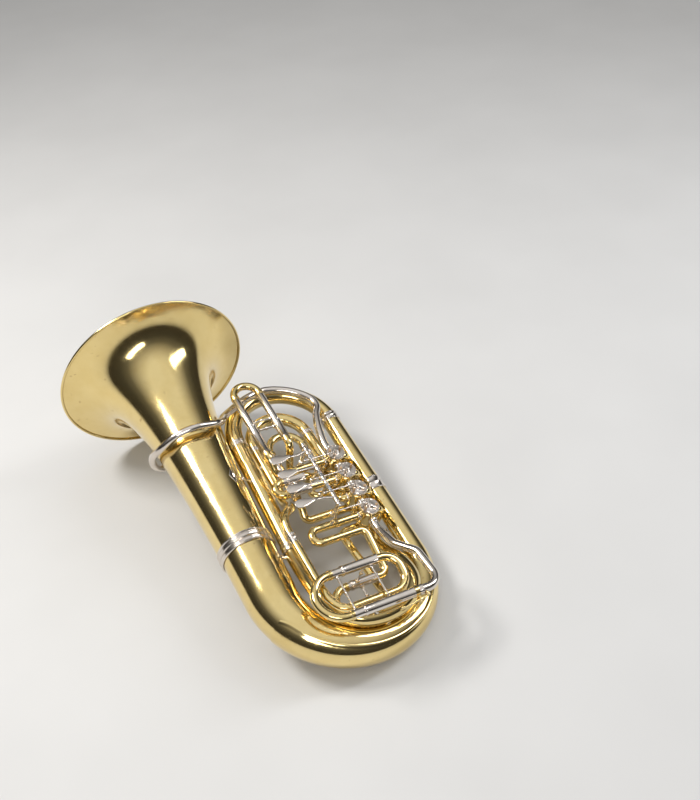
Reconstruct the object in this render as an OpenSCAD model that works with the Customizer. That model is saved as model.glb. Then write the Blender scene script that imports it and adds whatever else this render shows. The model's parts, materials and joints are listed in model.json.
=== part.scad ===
// Compact B flat tuba with four rotary valves, resting on its back.
// The tuba's own frame: X runs across the body away from the bell stem, Y runs along the stem
// towards the bell and Z points to the valve side. rest() then lays that frame on the floor.

/* [Bell] */
// Radius of the bell rim
rim_r = 185; // [170:1:195]
// Distance from the centre of the bottom bow to the rim
rim_y = 565; // [545:1:600]
// How suddenly the bell opens near the rim
flare_tail = 15; // [12:0.5:20]
// How fast the stem widens towards the bell
flare_power = 0.39; // [0.36:0.005:0.42]
// Radius of the bead wire in the rim
rim_wire_r = 2.6; // [2:0.1:3.5]
// Wall of the bell, the bows and the tubes
wall = 0.8; // [0.6:0.1:1.2]

/* [Bows and branches] */
// Distance from the stem axis to the outer branch axis
body_w = 282; // [276:1:290]
// Height of the ferrule that joins the stem and the bottom bow
joint_y = 105; // [95:1:115]
// Radius of the outer branch where it leaves the bottom bow
branch_r0 = 19.7; // [18:0.1:20.5]
// Radius of the outer branch where it enters the upper bow
branch_r1 = 17.2; // [16:0.1:17.5]
// Height of the ferrule at the foot of the outer branch
branch_y = 150; // [140:1:165]
// Top of the upper bow's centre line
upper_y = 433; // [428:1:440]
// Distance from the stem axis to the left branch axis at the upper bow
left_x = 82; // [81.5:0.5:83]
// Radius of the inner upper bow's tube
inner_r = 12; // [11:0.1:12.2]

/* [Valves] */
// Outer radius of the valve tubing
tube_r = 7.5; // [7:0.1:7.6]
// Outer radius of a slide's outer sleeve
sleeve_r = 8.6; // [8.4:0.05:8.7]
// Radial clearance between a slide's leg and its sleeve
slide_gap = 0.06; // [0.03:0.01:0.1]
// Distance from the stem axis to the rotor axes
valve_x = 227; // [226:0.5:228]
// Height of the first rotor
valve_top_y = 218; // [216:0.5:219]
// Distance from one rotor to the next
valve_pitch = 45; // [44.5:0.1:45.5]
// Radius of a rotor
rotor_r = 15; // [14.5:0.1:15.2]
// Outer radius of a rotor casing
casing_r = 17.5; // [17:0.1:17.6]

/* [Levers] */
// Position of the levers' hinge rod across the body
hinge_x = 155; // [153:0.5:157]
// Height of the hinge rod above the stem axis
hinge_z = 92; // [90:0.5:94]
// Height of the first finger plate
paddle_top_y = 204; // [203:0.5:205]
// Distance from one finger plate to the next
paddle_pitch = 34; // [33.5:0.1:34.5]
// Turn of a lever when it is pressed
press_deg = 18; // [17:0.5:19]

/* [Slides] */
// Height of the main tuning slide above the stem axis
main_z = 84; // [83.5:0.5:86]
// Height of the upper leg of the main tuning slide
main_y0 = -40; // [-41:0.5:-39]
// Bend radius of the main tuning slide's bow
main_bow = 40.5; // [40:0.5:41]
// Bend radius of the first slide's bow
bow_1 = 25; // [24.5:0.5:25.5]
// Bend radius of the third slide's bow
bow_3 = 34; // [33.5:0.5:34.5]

/* [Hidden] */
$fn = 48;

// How the tuba lies: on the rim and on the guard of the bottom bow
rest_tilt = 10.4;
rest_roll = 8.9;
rest_shift = [-67.79, -209.07, 83.77];

brass = [0.83, 0.66, 0.32];
nickel = [0.80, 0.78, 0.74];
cork = [0.70, 0.52, 0.34];
steel = [0.60, 0.60, 0.62];

module rest() {
  translate(rest_shift)
    rotate([0, rest_roll, 0])
      rotate([rest_tilt, 0, 0])
        children();
}

// ---- small vector tools ----
function unit(v) = v / norm(v);
function mix(a, b, t) = a + (b - a) * t;
function side_of(d) = unit(abs(d[2]) < 0.9 ? cross([0, 0, 1], d) : cross([1, 0, 0], d));
function basis(x, y, z, o) = [
  [x[0], y[0], z[0], o[0]],
  [x[1], y[1], z[1], o[1]],
  [x[2], y[2], z[2], o[2]],
  [0, 0, 0, 1]
];

// A straight hollow rod from a to b
module rod(a, b, ro, ri = 0) {
  d = unit(b - a);
  u = side_of(d);
  multmatrix(basis(u, cross(d, u), d, a))
    difference() {
      cylinder(h = norm(b - a), r = ro);
      if (ri > 0)
        translate([0, 0, -1])
          cylinder(h = norm(b - a) + 2, r = ri);
    }
}

// A hollow bend of a tube: it starts at p along d0 and turns towards d1
module elbow(p, d0, d1, bend, ro, ri = 0) {
  n = unit(d1 - d0 * (d0 * d1));
  multmatrix(basis(-n, d0, cross(-n, d0), p + n * bend))
    rotate_extrude(angle = acos(d0 * d1))
      translate([bend, 0])
        difference() {
          circle(r = ro);
          if (ri > 0)
            circle(r = ri);
        }
}

// A tube along straight runs that are joined by round bends, each its own piece of tube
seam = 0.02;
module pipe(p, bend, ro, ri = 0) {
  last = len(p) - 1;
  dir = [for (i = [0:last - 1]) unit(p[i + 1] - p[i])];
  cut = [for (i = [0:last])
    i == 0 || i == last ? 0 : bend * tan(acos(dir[i - 1] * dir[i]) / 2)];
  for (i = [0:last - 1])
    if (norm(p[i + 1] - p[i]) > cut[i] + cut[i + 1] + 4 * seam)
      rod(p[i] + dir[i] * (cut[i] + seam), p[i + 1] - dir[i] * (cut[i + 1] + seam), ro, ri);
  for (i = [1:last - 1])
    elbow(p[i] - dir[i - 1] * cut[i], dir[i - 1], dir[i], bend, ro, ri);
}

// ---- tapered sweeps ----
// A smooth curve through hand-placed points
function spline_at(p, i, t) =
  let (a = p[max(i - 1, 0)], b = p[i], c = p[i + 1], d = p[min(i + 2, len(p) - 1)])
  0.5 * ((2 * b) + (c - a) * t + (2 * a - 5 * b + 4 * c - d) * t * t
    + (3 * b - a - 3 * c + d) * t * t * t);
function spline(p, n) = [
  for (i = [0:len(p) - 2], k = [0:n - 1]) spline_at(p, i, k / n),
  p[len(p) - 1]
];
function tangent(p, i) = unit(p[min(i + 1, len(p) - 1)] - p[max(i - 1, 0)]);
function turned(u, t) = unit(u - t * (u * t));
function frames(p) = [
  for (i = 0, u = side_of(tangent(p, 0)); i < len(p);
       u = i + 1 < len(p) ? turned(u, tangent(p, i + 1)) : u, i = i + 1) u
];
function ring(c, t, u, r, sides) = [
  for (k = [0:sides - 1])
    c + u * r * cos(360 * k / sides) + cross(t, u) * r * sin(360 * k / sides)
];
function quads(row, next, n) = [
  for (k = [0:n - 1], f = [0, 1])
    f == 0
      ? [row + k, next + k, row + (k + 1) % n]
      : [row + (k + 1) % n, next + k, next + (k + 1) % n]
];

// A hollow tapered tube along p, with the outer radii r
module sweep(p, r, sides) {
  u = frames(p);
  last = len(p) - 1;
  outer = [for (i = [0:last]) each ring(p[i], tangent(p, i), u[i], r[i], sides)];
  inner = [for (i = [0:last]) each ring(p[i], tangent(p, i), u[i], r[i] - wall, sides)];
  hole = sides * (last + 1);
  polyhedron(
    points = concat(outer, inner),
    faces = concat(
      [for (i = [0:last - 1]) each quads(sides * i, sides * (i + 1), sides)],
      [for (i = [0:last - 1]) each quads(hole + sides * (i + 1), hole + sides * i, sides)],
      quads(hole, 0, sides),
      quads(sides * last, hole + sides * last, sides)
    )
  );
}

// ---- bell and stem ----
flare_steps = 22;
stem_steps = 8;
flare_foot_y = 360;
rim_inner_y = rim_y - 0.6;
function bell_r(y) = rim_r * pow(flare_tail / (rim_y + flare_tail - y), flare_power);
function flare_y(k) =
  flare_foot_y + (rim_inner_y - flare_foot_y) * (1 - pow(1 - k / flare_steps, 1.7));
function stem_y(k) = mix(joint_y, flare_foot_y - seam, k / stem_steps);
function bell_slope(y) = flare_power * bell_r(y) / (rim_y + flare_tail - y);
function bell_inner_r(y) = bell_r(y) - wall * sqrt(1 + bell_slope(y) * bell_slope(y));

module about_stem() {
  rotate([-90, 0, 0])
    rotate_extrude($fn = 96)
      children();
}

// The horn's wall through the heights y
module horn(y) {
  n = len(y) - 1;
  about_stem()
    polygon(concat(
      [for (k = [0:n]) [bell_r(y[k]), y[k]]],
      [for (k = [n:-1:0]) [bell_inner_r(y[k]), y[k]]]
    ));
}

module bell() rest() color(brass)
  horn([for (k = [0:flare_steps]) flare_y(k)]);

module bell_stem() rest() color(brass)
  horn([for (k = [0:stem_steps]) stem_y(k)]);

module bell_rim_wire() rest() color(brass) {
  about_stem()
    translate([bell_r(rim_inner_y) + rim_wire_r + seam, rim_inner_y])
      circle(r = rim_wire_r);
}

// The profiled ring has two beads and a waist
module collar(r, y, half, proud) {
  about_stem()
    union() {
      translate([r, y - half])
        square([proud * 0.55, half * 2]);
      translate([r + proud * 0.5, y - half + proud * 0.5])
        circle(r = proud * 0.5);
      translate([r + proud * 0.5, y + half - proud * 0.5])
        circle(r = proud * 0.5);
      translate([r + proud * 0.6, y])
        circle(r = proud * 0.6);
    }
}

ferrule_half = 12;
ferrule_proud = 3.4;
module bell_ferrule() rest() color(nickel)
  collar(bell_r(joint_y + ferrule_half) + 0.05, joint_y, ferrule_half, ferrule_proud);

// ---- bottom bow ----
bow_r = body_w / 2;
bow_steps = 26;
bow_entry_r = 46.5;
bow_path = concat(
  [[0, joint_y, 0], [0, joint_y / 2, 0]],
  [for (k = [0:bow_steps]) [
    bow_r - bow_r * cos(180 * k / bow_steps),
    -bow_r * sin(180 * k / bow_steps),
    0
  ]],
  [[body_w, branch_y / 2, 0], [body_w, branch_y, 0]]
);
function bow_taper(t) = mix(bow_entry_r, branch_r0, t);
bow_radii = concat(
  [bell_r(joint_y), bow_entry_r + 0.6],
  [for (k = [0:bow_steps]) bow_taper(k / bow_steps)],
  [branch_r0 - 0.2, branch_r0 - 0.4]
);

module bottom_bow() rest() color(brass)
  sweep(bow_path, bow_radii, 28);

// The guard is a curved strip soldered over the outside of the bottom bow
guard_first = 3;
guard_last = bow_steps - 4;
guard_spread = 62;
guard_ribs = 8;
function bow_skin(k, a, lift) =
  let (
    turn = 180 * k / bow_steps,
    out = [-cos(turn), -sin(turn), 0],
    r = bow_taper(k / bow_steps) + lift
  )
  [bow_r, 0, 0] + out * (bow_r + r * cos(a)) + [0, 0, r * sin(a)];
function guard_edge(k, lift) = [
  for (j = [0:guard_ribs]) bow_skin(k, -guard_spread + 2 * guard_spread * j / guard_ribs, lift)
];
function guard_ring(k) = concat(
  guard_edge(k, 1.3),
  [for (j = [guard_ribs:-1:0]) guard_edge(k, 0.35)[j]]
);

module bow_guard() rest() color(brass) {
  n = 2 * (guard_ribs + 1);
  rows = guard_last - guard_first;
  polyhedron(
    points = [for (k = [guard_first:guard_last]) each guard_ring(k)],
    faces = concat(
      [for (i = [0:rows - 1]) each quads(n * i, n * (i + 1), n)],
      [for (j = [0:guard_ribs - 1], f = [0, 1])
        f == 0 ? [j, j + 1, n - 1 - j] : [j + 1, n - 2 - j, n - 1 - j]],
      [for (j = [0:guard_ribs - 1], f = [0, 1])
        let (s = n * rows)
        f == 0 ? [s + j, s + n - 1 - j, s + j + 1] : [s + j + 1, s + n - 1 - j, s + n - 2 - j]]
    )
  );
}

// ---- outer branch and upper bow ----
upper_r = (body_w - left_x) / 2;
upper_cx = (body_w + left_x) / 2;
upper_cy = upper_y - upper_r;

module cone(a, b, r0, r1) {
  d = unit(b - a);
  u = side_of(d);
  multmatrix(basis(u, cross(d, u), d, a))
    difference() {
      cylinder(h = norm(b - a), r1 = r0, r2 = r1);
      translate([0, 0, -0.01])
        cylinder(h = norm(b - a) + 0.02, r1 = r0 - wall, r2 = r1 - wall);
    }
}

module outer_branch() rest() color(brass)
  cone([body_w, branch_y + 0.2, 0], [body_w, upper_cy - 0.2, 0], branch_r0 - 0.4, branch_r1);

module upper_bow() rest() color(brass) {
  elbow([body_w, upper_cy, 0], [0, 1, 0], [-1, 0, 0], upper_r, branch_r1, branch_r1 - wall);
  elbow([upper_cx, upper_y, 0], [-1, 0, 0], [0, -1, 0], upper_r, branch_r1, branch_r1 - wall);
}

// ---- left branch, inner loop and feed ----
left_top = [left_x, upper_cy, 0];
left_foot = [70, 75, 8];
left_dir = unit(left_foot - left_top);
foot_r = 15.6;
turn_r = 13;

module left_branch() rest() color(brass)
  cone(left_top + left_dir * 4, left_foot - left_dir * 0.3, branch_r1 - 0.2, foot_r);

inner_bow_path = spline([
  left_foot, left_foot + left_dir * 14, [66, 20, 20], [63, -35, 39], [73, -85, 47],
  [105, -114, 48], [150, -122, 47], [195, -110, 44], [228, -76, 37], [240, -28, 17], [241, 16, -13],
  [240, 46, -28], [240, 60, -29]
], 3);
inner_bow_r = [
  for (i = [0:len(inner_bow_path) - 1]) mix(foot_r, turn_r, i / (len(inner_bow_path) - 1))
];

module inner_bottom_bow() rest() color(brass)
  sweep(inner_bow_path, inner_bow_r, 18);

inner_top = [226, 322, -8];
inner_right_path = spline([
  [240, 60.4, -29], [240, 140, -29], [240, 215, -29], [236, 246, -24], [228, 290, -10], inner_top
], 4);
inner_right_r = [
  for (i = [0:len(inner_right_path) - 1]) mix(turn_r, inner_r, i / (len(inner_right_path) - 1))
];

module inner_right_branch() rest() color(brass)
  sweep(inner_right_path, inner_right_r, 16);

inner_bend = 57;
inner_left = [inner_top[0] - 2 * inner_bend, inner_top[1], inner_top[2]];
feed_start = inner_left - [0, 9, 0];

// The half turn is six short bends, a hair apart
bow_bends = 6;
bow_hair = 0.05;
function round_bow(a) = [cos(a), sin(a), 0];

module inner_upper_bow() rest() color(brass) {
  ri = inner_r - wall;
  step = 180 / bow_bends;
  for (k = [0:bow_bends - 1]) {
    a = k * step + bow_hair;
    b = (k + 1) * step - bow_hair;
    elbow(inner_top + [-inner_bend, 0.3, 0] + inner_bend * round_bow(a),
      round_bow(a + 90), round_bow(b + 90), inner_bend, inner_r, ri);
  }
  rod(inner_left + [0, 0.25, 0], feed_start + [0, 0.25, 0], inner_r, ri);
}

feed_z = 63.5;
feed_end = [60, 60, feed_z];
feed_path = spline([
  feed_start, [112, 250, -8], [112, 185, -8], [105, 152, 16], [84, 128, 46], [66, 106, 61],
  [60, 82, feed_z], feed_end
], 4);
feed_r = [
  for (i = [0:len(feed_path) - 1])
    mix(inner_r, tube_r, min(1, 1.2 * i / (len(feed_path) - 1)))
];

module feed_branch() rest() color(brass)
  sweep(feed_path, feed_r, 16);

// The last stretch runs from the tuning slide's upper leg, round and under it, to the feed
main_y1 = main_y0 - 2 * main_bow;
main_x = 73;
main_sleeve_x = 97;
main_upper_end = 160;
main_lower_end = 205;

module tuning_return() rest() color(brass)
  pipe([
    [main_upper_end, main_y0, main_z], [200, main_y0, main_z], [200, -101, 70], [72, -101, 70],
    [60, -68, 67], feed_end - [0, 0.3, 0]
  ], 27, tube_r, tube_r - wall);

// ---- leadpipe ----
valve_z = 30;
lead_path = spline([
  [20, 392, -80], [-27, 384, -76], [-64, 372, -48], [-79, 358, 0], [-69, 344, 38], [-42, 341, 67],
  [-7, 339, 79], [33, 341, 73], [52, 353, 60], [70, 376, 43], [105, 404, 28], [140, 421, 26],
  [181, 427, 26], [224, 411, 26], [254, 383, 26], [259, 356, 27], [246, 332, 29], [235, 300, 30],
  [valve_x, 262, valve_z], [valve_x, 238, valve_z]
], 3);
lead_r = [
  for (i = [0:len(lead_path) - 1]) mix(6.4, tube_r, min(1, 2 * i / (len(lead_path) - 1)))
];

module leadpipe() rest() color(nickel)
  sweep(lead_path, lead_r, 12);

receiver_dir = unit([47, 8, -4]);
receiver_len = 52;
receiver_bore = 6.9;
receiver_bore_len = 34;

module mouthpiece_receiver() rest() color(nickel) {
  u = side_of(receiver_dir);
  multmatrix(basis(u, cross(receiver_dir, u), receiver_dir, lead_path[0]))
    difference() {
      union() {
        cylinder(h = receiver_len, r1 = 8, r2 = 9);
        translate([0, 0, receiver_len - 5])
          cylinder(h = 5, r = 10.2);
        translate([0, 0, 6])
          cylinder(h = 3, r = 9.4);
      }
      translate([0, 0, receiver_len - receiver_bore_len])
        cylinder(h = receiver_bore_len + 1, r = receiver_bore);
      translate([0, 0, -1])
        cylinder(h = receiver_len, r = 5.6);
    }
}

// A turned ring with a raised band at each end
ring_band = 2.5;
module small_ferrule(p, d, r, half) {
  u = side_of(d);
  bore = r + 0.1;
  skin = r + 0.9;
  band = r + 1.6;
  multmatrix(basis(u, cross(d, u), d, p))
    rotate_extrude()
      polygon([
        [bore, -half], [band, -half], [band, ring_band - half], [skin, ring_band - half],
        [skin, half - ring_band], [band, half - ring_band], [band, half], [bore, half]
      ]);
}

// The rings that cover the joints between branches, bows and the feed
module branch_ferrules() rest() color(nickel) {
  small_ferrule([body_w, branch_y, 0], [0, 1, 0], branch_r0 - 0.2, 14);
  small_ferrule([body_w, upper_cy, 0], [0, 1, 0], branch_r1 + 0.2, 9);
  small_ferrule(left_top + left_dir * 4, left_dir, branch_r1 + 0.2, 6);
  small_ferrule(left_foot, left_dir, foot_r + 0.6, 8);
  small_ferrule(feed_start, [0, 1, 0], inner_r, 5);
  small_ferrule(inner_top - [0, 2, 0], [0, 1, 0], inner_r + 0.1, 5);
  small_ferrule(feed_end, [0, 1, 0], tube_r, 10);
}

// ---- rotary valves ----
casing_z0 = 12;
casing_z1 = 48;
rotor_gap = 0.05;
stem_r = 3;
plate_t = 3;
cap_t = 4;
port_x = valve_x - casing_r;
under_z = -6;
VALVES = [0, 1, 2, 3];
function valve_y(i) = valve_top_y - valve_pitch * i;
function pin_side(i) = i < 2 ? -1 : 1;
function pin_y(i) = valve_y(i) + pin_side(i) * pin_rho * cos(45);

module casing(i) {
  translate([valve_x, valve_y(i), casing_z0])
    difference() {
      cylinder(h = casing_z1 - casing_z0, r = casing_r);
      translate([0, 0, -1])
        cylinder(h = casing_z1 - casing_z0 + 2, r = rotor_r + rotor_gap);
      for (turn = [0:90:270])
        translate([0, 0, valve_z - casing_z0])
          rotate([0, 90, turn])
            cylinder(h = casing_r + 1, r = tube_r - wall);
    }
}

module valve_casings() rest() color(brass)
  for (i = VALVES)
    casing(i);

// The top plate of each casing carries the upper bearing and the cork carrier
module bearing_plates() rest() color(nickel)
  for (i = VALVES)
    translate([valve_x, valve_y(i), casing_z1])
      difference() {
        union() {
          cylinder(h = plate_t, r = casing_r);
          cylinder(h = plate_t + 1.6, r = 6);
        }
        translate([0, 0, -1])
          cylinder(h = plate_t + 4, r = stem_r + rotor_gap);
      }

module valve_caps() rest() color(brass)
  for (i = VALVES)
    translate([valve_x, valve_y(i), casing_z0 - cap_t])
      difference() {
        union() {
          cylinder(h = cap_t, r = casing_r + 0.8);
          translate([0, 0, -1])
            cylinder(h = 2, r = 5);
        }
        translate([0, 0, 1])
          cylinder(h = cap_t, r = stem_r + rotor_gap);
      }

// Short tubes join the casings to one another, to the leadpipe and to the exit pipe
knuckle_r = 8.8;
module valve_knuckles() rest() color(nickel) {
  gap = valve_pitch - 2 * casing_r;
  for (i = [0:2])
    rod([valve_x, valve_y(i) - casing_r + 0.2, valve_z],
      [valve_x, valve_y(i) - casing_r - gap - 0.2, valve_z], knuckle_r, tube_r - wall);
  rod([valve_x, valve_y(0) + casing_r - 0.2, valve_z], [valve_x, 246, valve_z], knuckle_r,
    tube_r + 0.1);
  rod([valve_x, valve_y(3) - casing_r + 0.2, valve_z], [valve_x, 56, valve_z], knuckle_r,
    tube_r + 0.1);
  for (i = VALVES)
    rod([port_x + 0.2, valve_y(i), valve_z], [port_x - 5, valve_y(i), valve_z], knuckle_r,
      tube_r + 0.1);
}

cork_angle = 26;
cork_ring = 11.5;
function tab_angle(i) = pin_side(i) < 0 ? 45 : -45;
function tab_turn(i) = pin_side(i) < 0 ? 90 : -90;

module cork_bumpers() rest() color(cork)
  for (i = VALVES, end = [0, 1]) {
    sweep_sign = pin_side(i) < 0 ? 1 : -1;
    a = end == 0 ? tab_angle(i) - sweep_sign * cork_angle
      : tab_angle(i) + tab_turn(i) + sweep_sign * cork_angle;
    translate([valve_x + cork_ring * cos(a), valve_y(i) + cork_ring * sin(a), casing_z1 + plate_t])
      cylinder(h = 6, r = 2.4);
  }

module rotor(i) rest() color(steel)
  translate([valve_x, valve_y(i), 0]) {
    difference() {
      translate([0, 0, casing_z0 + 0.3])
        cylinder(h = casing_z1 - casing_z0 - 0.6, r = rotor_r);
      for (s = [-1, 1])
        translate([s * rotor_r, s * rotor_r, valve_z])
          rotate_extrude()
            translate([rotor_r, 0])
              circle(r = tube_r - wall);
    }
    translate([0, 0, casing_z1 - 0.4])
      cylinder(h = 8.7, r = stem_r);
    translate([0, 0, casing_z0 - 2.6])
      cylinder(h = 3, r = stem_r);
  }

// The stop arm carries the link's pin on one side and strikes the corks with its other end
arm_z = casing_z1 + plate_t + 2;
arm_t = 3.4;
pin_r = 1.2;
module stop_arm(i) rest() color(nickel)
  translate([valve_x, valve_y(i), arm_z])
    rotate([0, 0, tab_angle(i)]) {
      difference() {
        union() {
          cylinder(h = arm_t, r = 5);
          translate([0, -2, 0])
            cube([cork_ring + 1.4, 4, arm_t]);
          translate([-pin_rho, -2.2, 0])
            cube([pin_rho, 4.4, arm_t]);
          translate([-pin_rho, 0, 0])
            cylinder(h = arm_t, r = 2.8);
        }
        translate([0, 0, -1])
          cylinder(h = arm_t + 2, r = stem_r);
      }
      translate([-pin_rho, 0, arm_t - 0.2])
        cylinder(h = 5, r = pin_r);
      translate([0, 0, arm_t - 0.01])
        cylinder(h = 0.5, r = 4.2);
    }

// ---- levers and links ----
rod_r = 2;
barrel_r = 4;
barrel_bore = rod_r + 0.05;
link_z = arm_z + arm_t + 2.4;
crank_len = hinge_z - link_z;
pin_rho = crank_len * sin(press_deg / 2) / sin(45);
BARRELS = [[199, 216], [160, 178], [128, 144], [83.5, 107]];
function plate_y(i) = paddle_top_y - paddle_pitch * i;

module lever(i) rest() color(nickel)
  translate([hinge_x, 0, hinge_z]) {
    difference() {
      union() {
        rod([0, BARRELS[i][0], 0], [0, BARRELS[i][1], 0], barrel_r);
        translate([-22, plate_y(i) - 2.5, 1])
          cube([22, 5, 2.6]);
      }
      rod([0, BARRELS[i][0] - 1, 0], [0, BARRELS[i][1] + 1, 0], barrel_bore);
    }
    // arm and finger plate
    translate([-36, plate_y(i) + 2.5, 1])
      rotate([90, 0, 0])
        linear_extrude(5)
          polygon([[0, 3], [14.5, 0], [14.5, 2.6], [0, 5.6]]);
    translate([0, plate_y(i), 4])
      linear_extrude(2) {
        for (side = [-1, 1])
          translate([-69.6, side * 3.8])
            circle(r = 5);
        polygon([
          [-34, 3], [-42, 4.6], [-52, 8], [-62, 8.9], [-69.6, 8.8], [-74.6, 3.8],
          [-74.6, -3.8], [-69.6, -8.8], [-62, -8.9], [-52, -8], [-42, -4.6], [-34, -3]
        ]);
      }
    // crank and its pin
    rotate([0, press_deg / 2, 0]) {
      translate([-2.4, pin_y(i) - 5.6, -crank_len - 2.6])
        cube([4.8, 2.6, crank_len - barrel_r + 3.2]);
      rod([0, pin_y(i) - 3.2, -crank_len], [0, pin_y(i) + 2.8, -crank_len], pin_r);
    }
  }

crank_reach = crank_len * sin(press_deg / 2);
link_x0 = hinge_x - crank_reach;
link_x1 = valve_x - pin_rho * sin(45);
eye_gap = 0.6;
slot_half = pin_rho * (1 - cos(45)) + eye_gap;

module link(i) rest() color(nickel)
  translate([0, pin_y(i), link_z]) {
    difference() {
      union() {
        rod([link_x0, -1.6, 0], [link_x0, 1.6, 0], 3.4);
        rod([link_x0 + 2.4, 0, 0], [link_x1 - 3, 0, 0], 1.5);
        translate([link_x1, 0, -1.5])
          cylinder(h = 3, r = 3.6);
        translate([link_x1 - 3.6, min(0, pin_side(i) * slot_half), -1.5])
          cube([7.2, slot_half, 3]);
        translate([link_x1, pin_side(i) * slot_half, -1.5])
          cylinder(h = 3, r = 3.6);
      }
      rod([link_x0, -3, 0], [link_x0, 3, 0], pin_r + eye_gap);
      for (y = [0, pin_side(i) * (slot_half - eye_gap)])
        translate([link_x1, y, -3])
          cylinder(h = 6, r = pin_r + eye_gap);
      translate([link_x1 - pin_r - eye_gap, min(0, pin_side(i) * (slot_half - eye_gap)), -3])
        cube([2 * (pin_r + eye_gap), slot_half - eye_gap, 6]);
    }
  }

rod_y0 = 76;
rod_y1 = 225;
module hinge_rod() rest() color(steel) {
  rod([hinge_x, rod_y0, hinge_z], [hinge_x, rod_y1, hinge_z], rod_r);
  rod([hinge_x, rod_y1, hinge_z], [hinge_x, rod_y1 + 2, hinge_z], 3.2);
}

// Two posts stand on the first and the fourth valve's tubes and carry the rod
post_t = 3;
POST_Y = [218.4, 79];
module hinge_posts() rest() color(nickel)
  for (y = POST_Y)
    difference() {
      union() {
        translate([hinge_x - 3.5, y, valve_z + tube_r - 1])
          cube([7, post_t, hinge_z - valve_z - tube_r + 1]);
        rod([hinge_x, y, hinge_z], [hinge_x, y + post_t, hinge_z], 4.6);
        translate([hinge_x - 8, y, valve_z + tube_r - 1])
          cube([16, post_t, 4]);
      }
      rod([hinge_x, y - 1, hinge_z], [hinge_x, y + post_t + 1, hinge_z], rod_r);
    }

// Each lever's coiled spring sits round the rod beside the barrel
SPRINGS = [[190, 198], [148, 158], [117, 127], [108, 116]];
module lever_springs() rest() color(steel)
  for (s = SPRINGS)
    rod([hinge_x, s[0], hinge_z], [hinge_x, s[1], hinge_z], 3.6, rod_r + 0.1);

// ---- valve tubing and slides ----
lift_z = 55;
slide_x1 = [102, 102 + 2 * bow_1];
slide_y2 = [173, 200];
slide_x3 = [196 - 2 * bow_3, 196];
slide_z3 = 12;
slide_y4 = [-34, -88];
slide_z4 = 12;
ri = tube_r - wall;

// The way from a casing's far port round its side to its back
module round_the_back(i) {
  y = valve_y(i);
  turn = 9;
  x = valve_x + casing_r + turn;
  pipe([[x - turn + 0.2, y, valve_z], [x, y, valve_z], [x, y, under_z], [235, y, under_z]],
    turn - 0.2, tube_r, ri);
}

module valve_tubes() rest() color(brass) {
  for (i = VALVES)
    round_the_back(i);
  // first valve
  pipe([[port_x - 0.2, valve_y(0), valve_z], [108, valve_y(0), valve_z],
    [slide_x1[0], 246, lift_z], [slide_x1[0], 262, lift_z]], 13, tube_r, ri);
  pipe([[235, valve_y(0), under_z], [172, valve_y(0), under_z], [slide_x1[1], 246, under_z],
    [slide_x1[1], 262, lift_z], [slide_x1[1], 285, lift_z]], 13, tube_r, ri);
  // second valve
  rod([port_x - 0.2, valve_y(1), valve_z], [150, valve_y(1), valve_z], tube_r, ri);
  pipe([[235, valve_y(1), under_z], [168, valve_y(1), under_z], [168, slide_y2[1], under_z],
    [168, slide_y2[1], valve_z], [150, slide_y2[1], valve_z]], 12, tube_r, ri);
  // third valve
  pipe([[port_x - 0.2, valve_y(2), valve_z], [slide_x3[1], valve_y(2), valve_z],
    [slide_x3[1], 152, slide_z3], [slide_x3[1], 175, slide_z3]], 9, tube_r, ri);
  pipe([[235, valve_y(2), under_z], [slide_x3[0], valve_y(2), under_z],
    [slide_x3[0], 152, slide_z3], [slide_x3[0], 175, slide_z3]], 12, tube_r, ri);
  // fourth valve
  pipe([[port_x - 0.2, valve_y(3), valve_z], [108, valve_y(3), valve_z], [108, 54, valve_z],
    [205, 54, valve_z], [205, slide_y4[0], slide_z4], [180, slide_y4[0], slide_z4]], 13, tube_r, ri);
  pipe([[235, valve_y(3), under_z], [176, valve_y(3), under_z], [188, -50, under_z],
    [190, slide_y4[1], slide_z4], [165, slide_y4[1], slide_z4]], 13, tube_r, ri);
}

module exit_pipe() rest() color(nickel)
  pipe([[valve_x, valve_y(3) - casing_r - 0.5, valve_z], [valve_x, 44, valve_z], [228, -5, 50],
    [246, -45, 72], [246, main_y1, main_z], [main_lower_end, main_y1, main_z]], 27, tube_r, ri);

module sleeve(a, b) {
  d = unit(b - a);
  rod(a, b, sleeve_r, tube_r + slide_gap);
  rod(a, a + d * 4, sleeve_r + 0.7, tube_r + slide_gap);
}

// Each sleeve is open at its first end, where the slide's leg goes in
module slide_sleeves() rest() color(nickel) {
  sleeve([slide_x1[0], 324, lift_z], [slide_x1[0], 256, lift_z]);
  sleeve([slide_x1[1], 324, lift_z], [slide_x1[1], 279, lift_z]);
  for (y = slide_y2)
    sleeve([118, y, valve_z], [155, y, valve_z]);
  for (x = slide_x3)
    sleeve([x, 262, slide_z3], [x, 168, slide_z3]);
  sleeve([132, slide_y4[0], slide_z4], [186, slide_y4[0], slide_z4]);
  sleeve([132, slide_y4[1], slide_z4], [171, slide_y4[1], slide_z4]);
  sleeve([main_sleeve_x, main_y0, main_z], [main_upper_end + 6, main_y0, main_z]);
  sleeve([main_sleeve_x, main_y1, main_z], [main_lower_end + 4, main_y1, main_z]);
}

// A slide's crook: a half turn with a ring at each end; it opens along -d
module crook(a, b, d) {
  n = unit(b - a);
  bend = norm(b - a) / 2;
  elbow(a, d, n, bend, tube_r, ri);
  elbow(a + d * bend + n * bend, n, -d, bend, tube_r, ri);
  for (p = [a, b])
    rod(p - d * 6, p - d * 0.05, tube_r + 0.9, tube_r + 0.02);
}

slide_1_y = 402;
slide_2_x = 105;
slide_3_y = 283;
slide_4_x = 120;

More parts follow.
